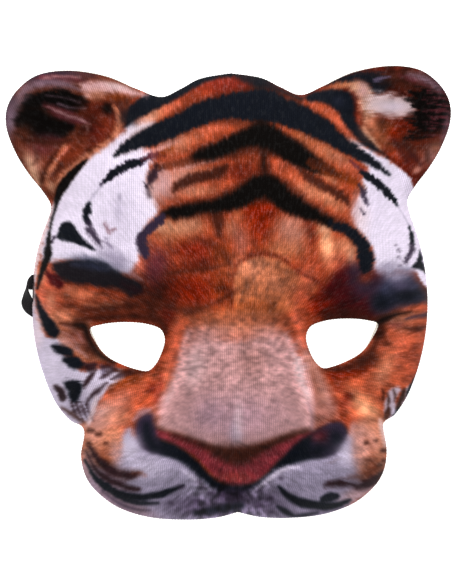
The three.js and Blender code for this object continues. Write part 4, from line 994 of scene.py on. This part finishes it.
LEFT_EAR_PRINT = [
    ("brown", [(-60, 92), (-76, 93), (-94, 82), (-94, 66), (-84, 48), (-73, 38), (-70.5, 38), (-66, 46),
     (-57, 55), (-48, 61.5), (-43, 66), (-41.6, 70), (-40, 77), (-36, 80), (-46, 86)], 0.7, 0.3),
    # The sheen rows in this ear are painted sheen where its knit catches the light
    ("plum", -72, 87, 18, 4, 0.8, 4), ("plum", -89, 72, 4, 12, 0.75), ("sheen", -88, 70, 3.6, 8, 0.95, -12),
    ("plum", [(-91, 69.2, 0.4), (-90.2, 75.6, 0.5), (-86.8, 82.8, 0.9), (-81.2, 86.8, 1.2),
     (-73.2, 88.4, 0.8)], 1.4, 0.2, 0.9),
    ("sheen", [(-85.2, 78, 0.8), (-82.8, 80.8, 1.8), (-78.8, 83, 2), (-73.2, 84.2, 1.8), (-66.8, 83.4, 1.4),
     (-60.4, 81.2, 0.6)], 2, 0.5, 0.8),
    ("dusk", [(-78.8, 85.8, 0.4), (-71.6, 86.5, 0.9), (-64.4, 86, 0.8), (-58, 84.6, 0.4)], 1.2, 0.4, 0.85),
    ("dusty_rose", [(-74.8, 85.8, 0.1), (-68.4, 86.8, 0.3), (-60.4, 86.2, 0.2)], 0.9, 0.2, 0.5),
    ("black", [(-83.6, 76.4), (-79.6, 80), (-72.4, 81.4), (-65.2, 80.8), (-58.8, 78.4), (-57.2, 74.8),
     (-60.4, 72.2), (-66, 73.2), (-72.4, 75.2), (-78, 74.6), (-82, 72.2)], 1.6, 0.8),
    ("black", [(-86.8, 69.2), (-83.6, 72.8), (-78, 74), (-71.6, 70.4), (-66, 69.2), (-62, 67.6),
     (-62.6, 65), (-66, 61.8), (-73.2, 60.4), (-80.4, 61.4), (-84.8, 63.6)], 1.8, 0.6),
    ("black", -79, 74, 7, 4, 0.9), ("black", -74, 69, 7, 3, 0.7), ("black", -68, 77, 7, 3, 0.6),
    ("dusk", -71, 61.5, 6, 2, 0.6, -10), ("sheen", -84, 77, 4, 1.6, 0.45, 30),
    ("burnt", -52, 71, 8, 9, 0.95), ("umber", -55, 68, 5, 6, 0.6),
    ("dusk", [(-74.4, 75, 0.6), (-70, 72.7, 1.6), (-65.2, 70.8, 1.9), (-60.4, 69, 1.5), (-57.2, 68.7, 0.7)],
     1.3, 0.4, 0.95),
    ("dusty_rose", [(-73.6, 74.5, 0.1), (-68.4, 72.2, 0.5), (-62.8, 70.3, 0.5), (-58.4, 69, 0.2)],
     0.9, 0.25, 0.7),
    ("sheen", [(-69.2, 75.8, 0.1), (-64.4, 74.3, 0.3), (-58, 73.8, 0.3)], 0.8, 0.2, 0.7),
    ("sheen", [(-74, 79.1, 0.1), (-67.6, 78.3, 0.2), (-60.4, 76.2, 0.2)], 0.8, 0.2, 0.5),
    ("dusty_rose", [(-59.6, 83.8), (-54.8, 84.6), (-50.8, 84.6), (-44.4, 82.6), (-36.4, 80), (-33.2, 79),
     (-41.2, 79.4), (-47.6, 79.8), (-52.4, 79), (-57.2, 78.8), (-59.8, 81.2)], 1.6, 0.5),
    ("tan", -54, 79, 4.4, 2.4, 0.8), ("blush", -45, 82.6, 6, 1.4, 0.6, -14),
    ("olive", -46, 78, 4.4, 2, 0.8), ("rust", -51.6, 66, 3, 6, 0.7, -10), ("maroon", -54, 64, 4, 4, 0.4),
    ("black", -49.6, 74, 2.8, 2.6, 0.9, -35),
    ("tan", [(-53.2, 58, 0.6), (-47.6, 62, 1), (-44.6, 66.8, 1.2), (-45.2, 71.6, 1), (-47.2, 74.4, 0.5)],
     1.2, 0.4, 0.85),
    ("ink", -41, 70.6, 4, 4, 0.8, 40), ("umber", -44, 76, 3, 2, 0.7),
    ("tan", [(-50, 59.4, 0.8), (-58, 54.6, 1.1), (-66, 47.6, 1.3), (-70, 43.6, 1)], 1.4, 0.5, 0.85),
    ("rust", -66, 56, 9, 4, 0.8, 35), ("brown", -83, 62, 4, 5, 0.8, 20), ("dusk", -76, 58, 6, 4, 0.7),
    ("tan", -79, 52, 3, 5, 0.8, 30), ("rose_tan", -79, 52, 3, 5, 0.4, 30),
    ("sand", -80, 52, 1.8, 4.6, 0.55, 30), ("sand", -72, 42.6, 1.6, 2.6, 0.6, 35),
    ("sand", [(-81.2, 53.2, 0.6), (-79.2, 48.4, 1.2), (-76.8, 43.6, 1.2)], 1.4, 0.3, 0.8),
    ("umber", [(-82.8, 61.2, 0.8), (-76.4, 60.8, 1.4), (-69.2, 59.6, 1.4), (-64.4, 61.2, 1.2)],
     1.6, 0.5, 0.8),
    ("umber", [(-69.2, 58, 0.6), (-72.4, 51.6, 1.3), (-75.2, 46, 1.2), (-76.4, 42.8, 0.4)], 1.3, 0.5, 0.8),
    ("umber", [(-64.8, 56.8, 0.5), (-67.6, 52.4, 1.1), (-70.8, 47.6, 0.9)], 1.2, 0.5, 0.7),
    ("tan", [(-66, 59.6, 0.3), (-69.2, 54, 0.7), (-73.2, 47.6, 0.9), (-73.6, 43.6, 0.6)], 1.1, 0.4, 0.7),
    ("dusty_rose", [(-65.6, 58, 0.1), (-67.6, 55.2, 0.4), (-70, 53.2, 0.1)], 0.9, 0.3, 0.6),
    ("umber", [(-78.8, 58, 0.4), (-77.6, 54, 0.9), (-79.2, 51.6, 0.4)], 1.3, 0.4, 0.6),
    ("brown", [(-60.4, 61.2, 0.6), (-62.8, 57.2, 1.2), (-66, 51.6, 0.8)], 1.6, 0.5, 0.6),
    ("burnt", [(-52.4, 66.8, 1), (-54, 62, 1.6), (-57.2, 58, 1)], 2, 0.5, 0.6),
    ("rust", -63, 56, 5, 2.6, 0.6, 30),
    ("salmon", [(-64, 59.2, 0.2), (-66.4, 56.8, 0.6), (-68.4, 54.8, 0.3)], 0.9, 0.5, 0.4),
    ("rose_tan", [(-58.8, 69.2, 0.2), (-57.2, 66.8, 0.6), (-58, 63.6, 0.2)], 1.4, 0.5, 0.5),
]
RIGHT_EAR_PRINT = [
    ("burnt", [(28, 79), (34, 83), (50, 90), (64, 92), (78, 91), (92, 78), (92, 62), (84, 50), (74, 42),
     (72, 46), (65, 52), (58, 58), (52, 62), (46, 68), (42, 74), (36, 78)], 0.7, 0.3),
    ("orange", 40, 82, 8, 1.6, 0.5, 22), ("plum", 84, 84, 8, 5, 0.8, -40),
    ("ink", [(29, 77.6), (34, 80.6), (42, 81.8), (47.4, 80), (49.6, 76), (49.4, 70), (52, 66), (58, 60),
     (63, 54.4), (58, 56.4), (52, 60), (47.4, 65), (44.6, 69), (42, 73), (37, 76)], 1.2, 0.3),
    ("slate", 43, 76.6, 3, 2.4, 0.25),
    ("sand", [(43, 82.8), (48, 84.6), (53.4, 85.2), (57, 80.8), (56, 77), (58, 73), (55, 68.6), (53, 70),
     (51.4, 74), (50.4, 79.6), (47, 82)], 1.5, 0.5, 0.85),
    ("ochre", 44, 83.4, 6, 1.6, 0.8, 10), ("dusty_rose", 53, 81, 3, 4, 0.8),
    ("salmon", 51.6, 73, 1.4, 5, 0.5),
    ("ink", [(34.8, 83), (41.2, 86), (48.4, 87.8), (56.4, 88.6), (62.8, 87.9), (66, 86), (65.2, 82.8),
     (61.2, 80), (58.4, 79.2), (56, 82), (51.6, 84.8), (43.6, 84.2)], 1.5, 0.5),
    ("umber", 68, 86, 9, 4, 0.85),
    ("umber", [(63.6, 87.6), (70.8, 88.4), (78.8, 86.8), (83.6, 82), (86, 77.2), (82, 77.2), (75.6, 81.2),
     (69.2, 81.2), (65.2, 82)], 2.2, 0.7, 0.9),
    ("dusk", [(67.6, 86.8, 0.4), (73.2, 85.4, 1), (78.8, 83, 0.9), (82.8, 79.6, 0.4)], 1.4, 0.4, 0.8),
    # A painted sheen along the ear's upper rim
    ("sheen", [(70.8, 87.9, 0.3), (77.2, 85.8, 1.3), (82, 82, 1.3), (84.8, 77.2, 0.8)], 1.8, 0.5, 0.85),
    ("plum_grey", [(57.4, 84.9, 0.2), (60, 85.7, 0.3), (63.6, 86.5, 0.2)], 0.8, 0.5, 0.8),
    ("blush", [(54, 73.4), (55, 77.6), (58, 79.4), (64, 79.6), (70, 78), (73.4, 75.6), (74, 72.4),
     (68, 70.8), (60, 71)], 2.8, 0.8, 0.95),
    ("lilac_white", 65, 74.6, 6, 2.4, 0.6), ("tan", 56, 67, 4, 5, 0.85), ("ochre", 62, 66, 4, 3, 0.7),
    ("sand", [(53, 66, 0.5), (56, 62, 0.8), (60, 57.6, 0.5)], 1.2, 0.4, 0.7),
    ("deep_rust", 66, 64, 5, 3, 0.8), ("umber", 71, 62, 5, 4, 0.7), ("rust", 65, 56, 5, 3, 0.6, -30),
    ("umber", 73, 57, 6, 4, 0.8, -25), ("ochre", 60, 62, 5, 3, 0.75, -45), ("rust", 78, 55, 5, 4, 0.8, -35),
    ("rust", 78, 60, 4, 2.6, 0.4), ("umber", 69, 60, 5, 3, 0.5, -30),
    ("black", [(73, 80), (80, 82), (87, 78), (88.6, 71), (86, 64), (78, 63), (73, 66), (74, 73)], 1.8, 1),
    *ear_hairs(rows=8, lowest=62, apart=2.5),
    ("umber", 82, 58, 5, 6, 0.8, -25), ("rose_tan", 80, 55, 4, 5, 0.6, -35),
    ("coral", 74.6, 49.4, 2.4, 1.4, 0.7, 30), ("tan", 82, 58, 2.4, 3, 0.5, -30),
    ("umber", [(75.6, 61.2, 0.3), (78, 57.2, 0.8), (78.8, 52.4, 0.4)], 1.6, 0.6, 0.6),
    # A painted sheen down the ear's outer edge
    ("sheen", 86, 64, 2, 8, 0.5, -10),
    ("soot", [(69.2, 59.6, 0.4), (72.4, 55.6, 0.9), (75.6, 51.6, 0.5)], 1.8, 0.6, 0.6),
    ("soot", [(65.2, 61.2, 0.4), (67.6, 57.2, 0.8), (70.8, 52.4, 0.4)], 1.8, 0.6, 0.5),
    ("dusk", [(86.6, 66, 0.4), (86.6, 60, 0.9), (84, 54, 0.6)], 1.4, 0.3, 0.7),
]
RIM_PRINT_AND_EYE_SHADE = [
    # The seam of black along the left cheek, and the pale turn of the cloth outside it
    ("blush", [(-70.6, 36), (-75, 28), (-79, 14), (-83, 0), (-84, -10), (-79, -6), (-78.4, 2), (-77.4, 10),
     (-75.6, 18), (-73, 27)], 0.5, 0.3, 0.95),
    ("black", [(-57.6, 53.4, 0.3), (-60, 51.2, 0.9), (-64, 47, 1.6), (-67.5, 42.4, 1.9), (-69.4, 38, 1.3),
     (-70.2, 34, 0.6), (-71.6, 29.5, 0.5), (-72.6, 24, 0.7), (-73.2, 19, 1.2), (-73.2, 15, 1.7),
     (-75, 10.6, 1.2), (-76.4, 6, 0.8), (-77.4, 2, 0.6)], 0.7, 0.2),
    ("ink", [(-78.2, -0.8), (-76.8, -2.8), (-75.6, -5.3), (-72.9, -9.3), (-69.9, -13), (-68.4, -15.8),
     (-70.4, -18), (-73.2, -17), (-75.2, -13.6), (-76.8, -8.3), (-77.8, -4.8)], 0.9, 0.35),
    # Painted shade along the upper edges of the eye holes, under the brows, over the fur's own dark
    ("umber", [(-62, -10.6, 0.8), (-54, -10, 1.3), (-44, -9.4, 1.4), (-36, -9.4, 1.6), (-29, -11, 1.8),
     (-26, -16, 0.9)], 1.6, 0.4, 0.85),
    ("umber", [(37, -10.4, 0.8), (44, -9.6, 1.2), (52, -10, 1.2), (58, -11, 1.2)], 1.6, 0.3, 0.7),
]
REGIONS = (FOREHEAD_PRINT, TEMPLE_PRINT, BROW_PRINT, STRIPE_PRINT, CHEEK_PRINT, NOSE_PRINT, MUZZLE_PRINT,
           LEFT_EAR_PRINT, RIGHT_EAR_PRINT, RIM_PRINT_AND_EYE_SHADE)


def paint(u, v):
    """The print's colours, with its painted highlight and shade, at points of the picture, and how strongly
    fine hair shows in each
    """
    p = Print(u, v)
    p.colour[:] = np.array(COLOURS["rust"]) / 255
    for rows in REGIONS:
        p.paint(rows)
    low, high = p.colour.min(1), p.colour.max(1)
    vivid = (high - low) / (high + LEAST_LIGHT)
    p.colour -= (DEEPER_DARKS * (1 - high) * vivid)[:, None] * (high[:, None] - p.colour)

    bridge = smoothstep(*BRIDGE["side"], abs(u - BRIDGE["x"]))
    bridge = bridge * smoothstep(*BRIDGE["top"], v) * smoothstep(*BRIDGE["foot"], v)
    most = BRIDGE["most"]
    curls = BRIDGE["ticks"] * np.clip(p.ticks, -most, most) + BRIDGE["curl"] * np.clip(p.curl, -most, most)
    p.shade(-bridge * (BRIDGE["calm"] + (1 - BRIDGE["calm"]) * smoothstep(*BRIDGE["calm_y"], v)) * curls)

    brow = smoothstep(*BROW["side"], np.hypot((u - BROW["x"]) / BROW["stretch"], v - BROW["y"]))
    p.shade(BROW["curl"] * brow * np.clip(p.curl, -BROW["most"], BROW["most"]) * (1 - bridge))

    chin = smoothstep(*CHIN["side"], abs(u)) * smoothstep(*CHIN["top"], v)
    p.shade(CHIN["strength"] * chin * np.clip(p.curl + CHIN["broad"] * p.broad, -CHIN["most"], CHIN["most"]))

    muzzle = smoothstep(*PALE_MUZZLE["top"], v) * (1 - vivid)
    p.shade(muzzle * (PALE_MUZZLE["fine"] * p.fine + PALE_MUZZLE["broad"] * p.broad))

    right_ear = smoothstep(*EAR_HAIR["from_y"], v) * smoothstep(*EAR_HAIR["from_x"], u)
    coarse = 1 + FUR["coarse"] * smoothstep(*FUR["coarse_from_y"], v) + FUR["coarse_ear"] * right_ear
    tufts_of_fur = FUR["tuft"] * smoothstep(*FUR["tufts_from"], p.broad)
    fur = (1 - bridge) * (FUR["fine"] * p.fine + FUR["broad"] * coarse * p.broad - tufts_of_fur)
    p.shade(vivid * (fur + FUR["mottle"] * coarse * p.mottle))

    flecks = FLECKS["pale"] + (1 - FLECKS["pale"]) * vivid
    flecks = flecks * (FLECKS["dark"] + (1 - FLECKS["dark"]) * smoothstep(*FLECKS["dark_to_light"], high))
    return np.clip(p.colour, 0, 1), flecks * (1 - FLECKS["less_on_bridge"] * bridge)


def along_hair(u, v):
    """Where points lie across and along the pictured hair, in widths and lengths of a hair"""
    du, dv = abs(u - HAIR_CENTRE[0]), v - HAIR_CENTRE[1]
    return np.arctan2(du, dv) * HAIR_SPREAD / HAIR_SIZE[0], np.hypot(du, dv) / HAIR_SIZE[1]


def view_axes():
    """The camera's right, up and backward directions"""
    turn, lean = np.radians([VIEW_TURN, VIEW_LEAN])
    back = np.array([-np.sin(turn), 0, np.cos(turn)])
    right = np.array([np.cos(turn), 0, np.sin(turn)])
    up = np.array([0.0, 1.0, 0.0])
    return np.cos(lean) * right - np.sin(lean) * up, np.cos(lean) * up + np.sin(lean) * right, back


RIGHT, UP, BACK = view_axes()
TARGET = np.array([0, 0, VIEW_TARGET_Z]) + VIEW_OFFSET[0] * RIGHT + VIEW_OFFSET[1] * UP
EYE_POINT = TARGET + VIEW_DISTANCE * BACK


def seen(points):
    """Where points fall on the picture, in millimetres from the face's middle"""
    away = points - EYE_POINT
    scale = VIEW_DISTANCE / -(away @ BACK)
    return (away @ RIGHT) * scale + VIEW_OFFSET[0], (away @ UP) * scale + VIEW_OFFSET[1]


def along_surface(x, y):
    """How far points are from the middle lines, measured over the relief as the knit stretches over it"""
    grid = np.arange(-GRID_REACH, GRID_REACH + STRETCH_STEP, STRETCH_STEP)
    gx, gy = np.meshgrid(grid, grid)
    z = outer_height(gx.ravel(), gy.ravel(), curled=False).reshape(gx.shape)
    steepest = STEEPEST_STRETCH * STRETCH_STEP
    reach = []
    for axis in (1, 0):
        run = np.hypot(STRETCH_STEP, np.clip(np.diff(z, axis=axis), -steepest, steepest))
        total = np.insert(np.cumsum(run, axis), 0, 0, axis)
        total = total - np.take(total, [len(grid) // 2], axis)
        reach.append(read_grid(total, x, y, STRETCH_STEP))
    return reach


def to_linear(colour):
    """A colour as it is shown, turned into amounts of light"""
    return np.where(colour <= 0.04045, colour / 12.92, ((colour + 0.055) / 1.055) ** 2.4)


def add_map(piece, name, a, b):
    """A UV map from two numbers at each point"""
    mesh = piece.data
    corners = np.empty(len(mesh.loops), int)
    mesh.loops.foreach_get("vertex_index", corners)
    layer = mesh.uv_layers.new(name=name)
    layer.data.foreach_set("uv", np.stack([a, b], 1)[corners].ravel())


class Material:
    """A node material on the Principled shader, with short ways to add nodes"""

    def __init__(self, name, roughness, sheen):
        self.data = bpy.data.materials.new(name)
        self.data.use_nodes = True
        self.tree = self.data.node_tree
        self.shader = self.tree.nodes["Principled BSDF"]
        self.shader.inputs["Roughness"].default_value = roughness
        self.shader.inputs["Sheen Weight"].default_value = sheen
        self.shader.inputs["Sheen Roughness"].default_value = SHEEN_ROUGHNESS
        self.shader.inputs["Specular IOR Level"].default_value = SPECULAR_LEVEL

    def node(self, kind, inputs=(), **settings):
        node = self.tree.nodes.new("ShaderNode" + kind)
        for key, value in settings.items():
            setattr(node, key, value)
        for key, value in dict(inputs).items():
            if isinstance(value, bpy.types.NodeSocket):
                self.tree.links.new(value, node.inputs[key])
            else:
                node.inputs[key].default_value = value
        return node

    def math(self, operation, a, b=0.0, c=0.0):
        return self.node("Math", {0: a, 1: b, 2: c}, operation=operation).outputs[0]

    def times(self, a, b):
        return self.math("MULTIPLY", a, b)

    def between(self, ends, value):
        """A value from 0 to 1 made to run from one end to the other"""
        return self.math("MULTIPLY_ADD", value, ends[1] - ends[0], ends[0])

    def wave(self, ends, angle):
        """A cosine wave from one end, at half a turn, to the other, at a whole turn"""
        half, middle = (ends[1] - ends[0]) / 2, (ends[0] + ends[1]) / 2
        return self.math("MULTIPLY_ADD", self.math("COSINE", angle), half, middle)

    def place(self, uv_map):
        """The two numbers of a UV map"""
        return self.node("SeparateXYZ", {0: self.node("UVMap", uv_map=uv_map).outputs[0]}).outputs[:2]

    def noise(self, scale, detail=3.0):
        """Noise with so many waves to the metre"""
        noise = {"Vector": self.node("TexCoord").outputs["Object"], "Scale": scale, "Detail": detail,
                 "Roughness": NOISE_ROUGHNESS}
        return self.node("TexNoise", noise).outputs["Fac"]

    def tint(self, colour, share):
        """A colour made darker or lighter by a share that varies over the surface"""
        return self.node("VectorMath", {0: colour, 3: share}, operation="SCALE").outputs[0]

    def finish(self, colour, height, distance, strength=1.0):
        bump = self.node("Bump", {"Height": height, "Distance": distance, "Strength": strength})
        self.tree.links.new(colour, self.shader.inputs["Base Color"])
        self.tree.links.new(bump.outputs[0], self.shader.inputs["Normal"])
        return self.data


def knit_material():
    """The printed knit: the picture's colour and its printed hairs, over fine V-shaped stitches"""
    look = KNIT_LOOK
    m = Material("printed_knit", look["roughness"][0], 0.0)
    across, along = m.place("knit")
    rib = m.wave((1, 0), m.times(across, 2 * np.pi / KNIT_WALE))
    course = m.times(along, 2 * np.pi / KNIT_COURSE)
    row = m.wave(look["row"], m.math("MULTIPLY_ADD", rib, -look["slant"], course))
    stitch = m.times(rib, row)
    fuzz = m.noise(look["fuzz"])
    cloud = m.noise(look["cloud"], detail=2.0)
    hair_map = m.node("UVMap", uv_map="hair").outputs[0]
    hair = m.node("TexNoise", {"Vector": hair_map, "Scale": 1.0, "Detail": 2.0}).outputs["Fac"]
    colour = m.node("Attribute", attribute_name="print").outputs
    fleck = m.math("MULTIPLY_ADD", hair, look["fleck_hair"], m.between(look["fleck_fuzz"], fuzz))
    share = m.between(look["stitch_shade"], stitch)
    share = m.times(share, m.math("MULTIPLY_ADD", fleck, colour["Alpha"], 1.0))
    share = m.times(share, m.between(look["cloud_shade"], cloud))
    height = m.math("MULTIPLY_ADD", fuzz, look["fuzz_height"], stitch)
    pale = m.times(m.math("MAXIMUM", fleck, 0.0), m.times(colour["Alpha"], look["pale"]))
    flecked = m.node("VectorMath", {0: m.tint(colour["Color"], share), 1: pale}, operation="ADD").outputs[0]
    m.tree.links.new(m.between(look["roughness"], fuzz), m.shader.inputs["Roughness"])
    return m.finish(flecked, height, look["bump"], look["bump_strength"])


def foam_material():
    """Pale polyurethane foam with fine cells"""
    look = FOAM_LOOK
    m = Material("moulded_foam", look["roughness"], look["sheen"])
    cells = m.node("TexVoronoi", {"Vector": m.node("TexCoord").outputs["Object"], "Scale": look["cells"]})
    cell = m.math("MINIMUM", cells.outputs["Distance"], look["cell_radius"])
    grain = m.noise(look["grain"])
    share = m.times(m.between(look["cell_shade"], cell), m.between(look["grain_shade"], grain))
    cloud = m.noise(look["cloud"], detail=2.0)
    base = m.node("Mix", {0: cloud, 6: look["pale"], 7: look["warm"]}, data_type="RGBA").outputs[2]
    height = m.math("MULTIPLY_ADD", grain, look["grain_height"], cell)
    return m.finish(m.tint(base, share), height, look["bump"])


def elastic_material():
    """Flat braided elastic: slanting threads that cross between its lengthwise cords"""
    look = ELASTIC_LOOK
    m = Material("braided_elastic", look["roughness"], look["sheen"])
    along, across = m.place("band")
    run = m.times(along, 2 * np.pi / look["thread_along"])
    cross = m.times(across, 2 * np.pi / look["thread_across"])
    one, other = (m.math("SINE", m.math(operation, run, cross)) for operation in ("ADD", "SUBTRACT"))
    braid = m.times(m.math("MAXIMUM", one, other), 0.5)
    fuzz = m.noise(look["fuzz"])
    share = m.times(m.between(look["braid_shade"], braid), m.between(look["fuzz_shade"], fuzz))
    base = m.node("RGB").outputs[0]
    base.default_value = look["colour"]
    height = m.math("MULTIPLY_ADD", fuzz, look["fuzz_height"], braid)
    return m.finish(m.tint(base, share), height, look["bump"])


def floor_material():
    look = FLOOR_LOOK
    m = Material("pale_floor", look["roughness"], 0.0)
    base = m.node("RGB").outputs[0]
    base.default_value = look["colour"]
    m.shader.inputs["Emission Color"].default_value = (1, 1, 1, 1)
    m.shader.inputs["Emission Strength"].default_value = look["glow"]
    share = m.between(look["cloud_shade"], m.noise(look["cloud"]))
    return m.finish(m.tint(base, share), m.noise(look["grain"]), look["bump"])


def dress(piece, material, *nodes, slot):
    piece.data.materials.append(material)
    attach(piece, "root")
    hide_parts(*nodes)


# The camera of the photograph's view
camera = bpy.data.objects.new("camera", bpy.data.cameras.new("camera"))
camera.data.lens = SENSOR_WIDTH * VIEW_DISTANCE / (PICTURE_HEIGHT * MM_PER_PIXEL)
camera.data.sensor_width = SENSOR_WIDTH
axes = zip(np.stack([RIGHT, UP, BACK], 1), EYE_POINT * MM)
camera.matrix_world = Matrix([[*row, place] for row, place in axes] + [[0, 0, 0, 1]])
bpy.context.scene.collection.objects.link(camera)
bpy.context.scene.camera = camera


def strap_path():
    """Even steps along the route: the middle of the band, its direction and its width direction"""
    knots = np.array(STRAP_ROUTE, float)
    line = spline(knots[:, :3], STRAP_PARTS, centripetal=True)
    at = np.arange(len(line)) / STRAP_PARTS
    turns = np.interp(at, np.arange(len(knots)), knots[:, 3])
    leans = np.interp(at, *np.array(STRAP_LEANS).T)
    line = evenly(np.column_stack([line, turns, leans]), STRAP_STEP)
    middle, turn, lean = line[:, :3].copy(), np.radians(line[:, 3]), line[:, 4]
    along = np.gradient(middle, axis=0)
    along /= np.linalg.norm(along, axis=1)[:, None]
    across = np.stack([lean, np.cos(turn), np.sin(turn)], 1)
    across -= along * np.sum(across * along, 1)[:, None]
    across /= np.linalg.norm(across, axis=1)[:, None]
    lowest = STRAP_WIDTH / 2 * np.abs(across[:, 2]) + STRAP_THICKNESS / 2 * np.cos(turn) + STRAP_LIFT
    middle[:, 2] = np.maximum(middle[:, 2], lowest)
    return middle, along, across


def strap_ring():
    """The band's section: how far its points are from the middle across the width and the thickness"""
    angle = np.arange(STRAP_SIDES) / STRAP_SIDES * 2 * np.pi
    wide = STRAP_WIDTH / 2 * signed_power(np.cos(angle), STRAP_ROUNDNESS[0])
    thick = STRAP_THICKNESS / 2 * signed_power(np.sin(angle), STRAP_ROUNDNESS[1])
    return wide, thick * (1 - STRAP_CORD_DEPTH + STRAP_CORD_DEPTH * np.cos(2 * np.pi * wide / STRAP_CORD))


def tube_faces(steps, sides):
    """Faces of a closed tube whose points lie ring after ring"""
    ring, side = (q.ravel() for q in np.meshgrid(np.arange(steps - 1), np.arange(sides), indexing="ij"))
    a, b = ring * sides + side, ring * sides + (side + 1) % sides
    ends = [list(range(sides))[::-1], list(range((steps - 1) * sides, steps * sides))]
    return np.stack([a, b, b + sides, a + sides], 1).tolist() + ends


# The elastic: a band swept along its route, with lengthwise cords in its faces
middle, along, across = strap_path()
wide, thick = strap_ring()
rings = middle[:, None] + across[:, None] * wide[None, :, None]
rings = rings + np.cross(along, across)[:, None] * thick[None, :, None]
steps = len(middle)
strap = new_piece("braided_elastic_strap", rings.reshape(-1, 3), tube_faces(steps, STRAP_SIDES))
add_map(strap, "band", np.repeat(np.arange(steps) * STRAP_STEP, STRAP_SIDES), np.tile(wide, steps))
dress(strap, elastic_material(), "elastic_strap", slot="black_elastic")

# The printed knit and the foam behind it
fine_plan, inner_plan = Plan(OUTER_SPACING), Plan(INNER_SPACING)
knit_front, knit_back = knit_teeth(fine_plan.face(0)), knit_teeth(inner_plan.face(KNIT_THICKNESS))
knit_points, knit_triangles = closed_sheet(knit_front, fine_plan, knit_back, inner_plan)
knit = new_piece("printed_knit_cover", knit_points, knit_triangles.tolist())
add_map(knit, "knit", *along_surface(*np.vstack([fine_plan.points, inner_plan.points]).T))
add_map(knit, "hair", *along_hair(*seen(knit_points)))
ink, hair_strength = paint(*seen(knit_points))
colours = knit.data.color_attributes.new("print", "FLOAT_COLOR", "POINT")
colours.data.foreach_set("color", np.column_stack([to_linear(ink), hair_strength]).ravel())
dress(knit, knit_material(), "mask_shell", slot="printed_knit_on_foam")

foam_points, foam_triangles = closed_sheet(inner_plan.face(KNIT_THICKNESS + GLUE_GAP), inner_plan,
                                           inner_plan.face(SHEET_THICKNESS), inner_plan)
foam = new_piece("foam_backing", foam_points, foam_triangles.tolist())
dress(foam, foam_material(), "mask_shell", slot="printed_knit_on_foam")

# Floor and light
floor_corners = np.array([(-1, -1, 0), (1, -1, 0), (1, 1, 0), (-1, 1, 0)]) * FLOOR_HALF_WIDTH
floor = new_piece("floor", floor_corners, [(0, 1, 2, 3)])
floor.data.materials.append(floor_material())

world = bpy.data.worlds.new("studio")
world.use_nodes = True
world.node_tree.nodes["Background"].inputs[0].default_value = SKY_COLOUR
world.node_tree.nodes["Background"].inputs[1].default_value = SKY_STRENGTH
bpy.context.scene.world = world


def softbox(name, place, size, power):
    """A square light of so many metres and watts that faces the mask"""
    light = bpy.data.objects.new(name, bpy.data.lights.new(name, "AREA"))
    light.data.size = size
    light.data.energy = power
    light.location = place
    light.rotation_euler = Vector(place).to_track_quat("Z", "Y").to_euler()
    bpy.context.scene.collection.objects.link(light)


softbox("softbox_above", place=(0.1, 0.85, 1.05), size=0.8, power=17)
softbox("softbox_front", place=(-0.25, -0.3, 1.5), size=1.2, power=8)
bpy.context.scene.view_settings.view_transform = "Standard"
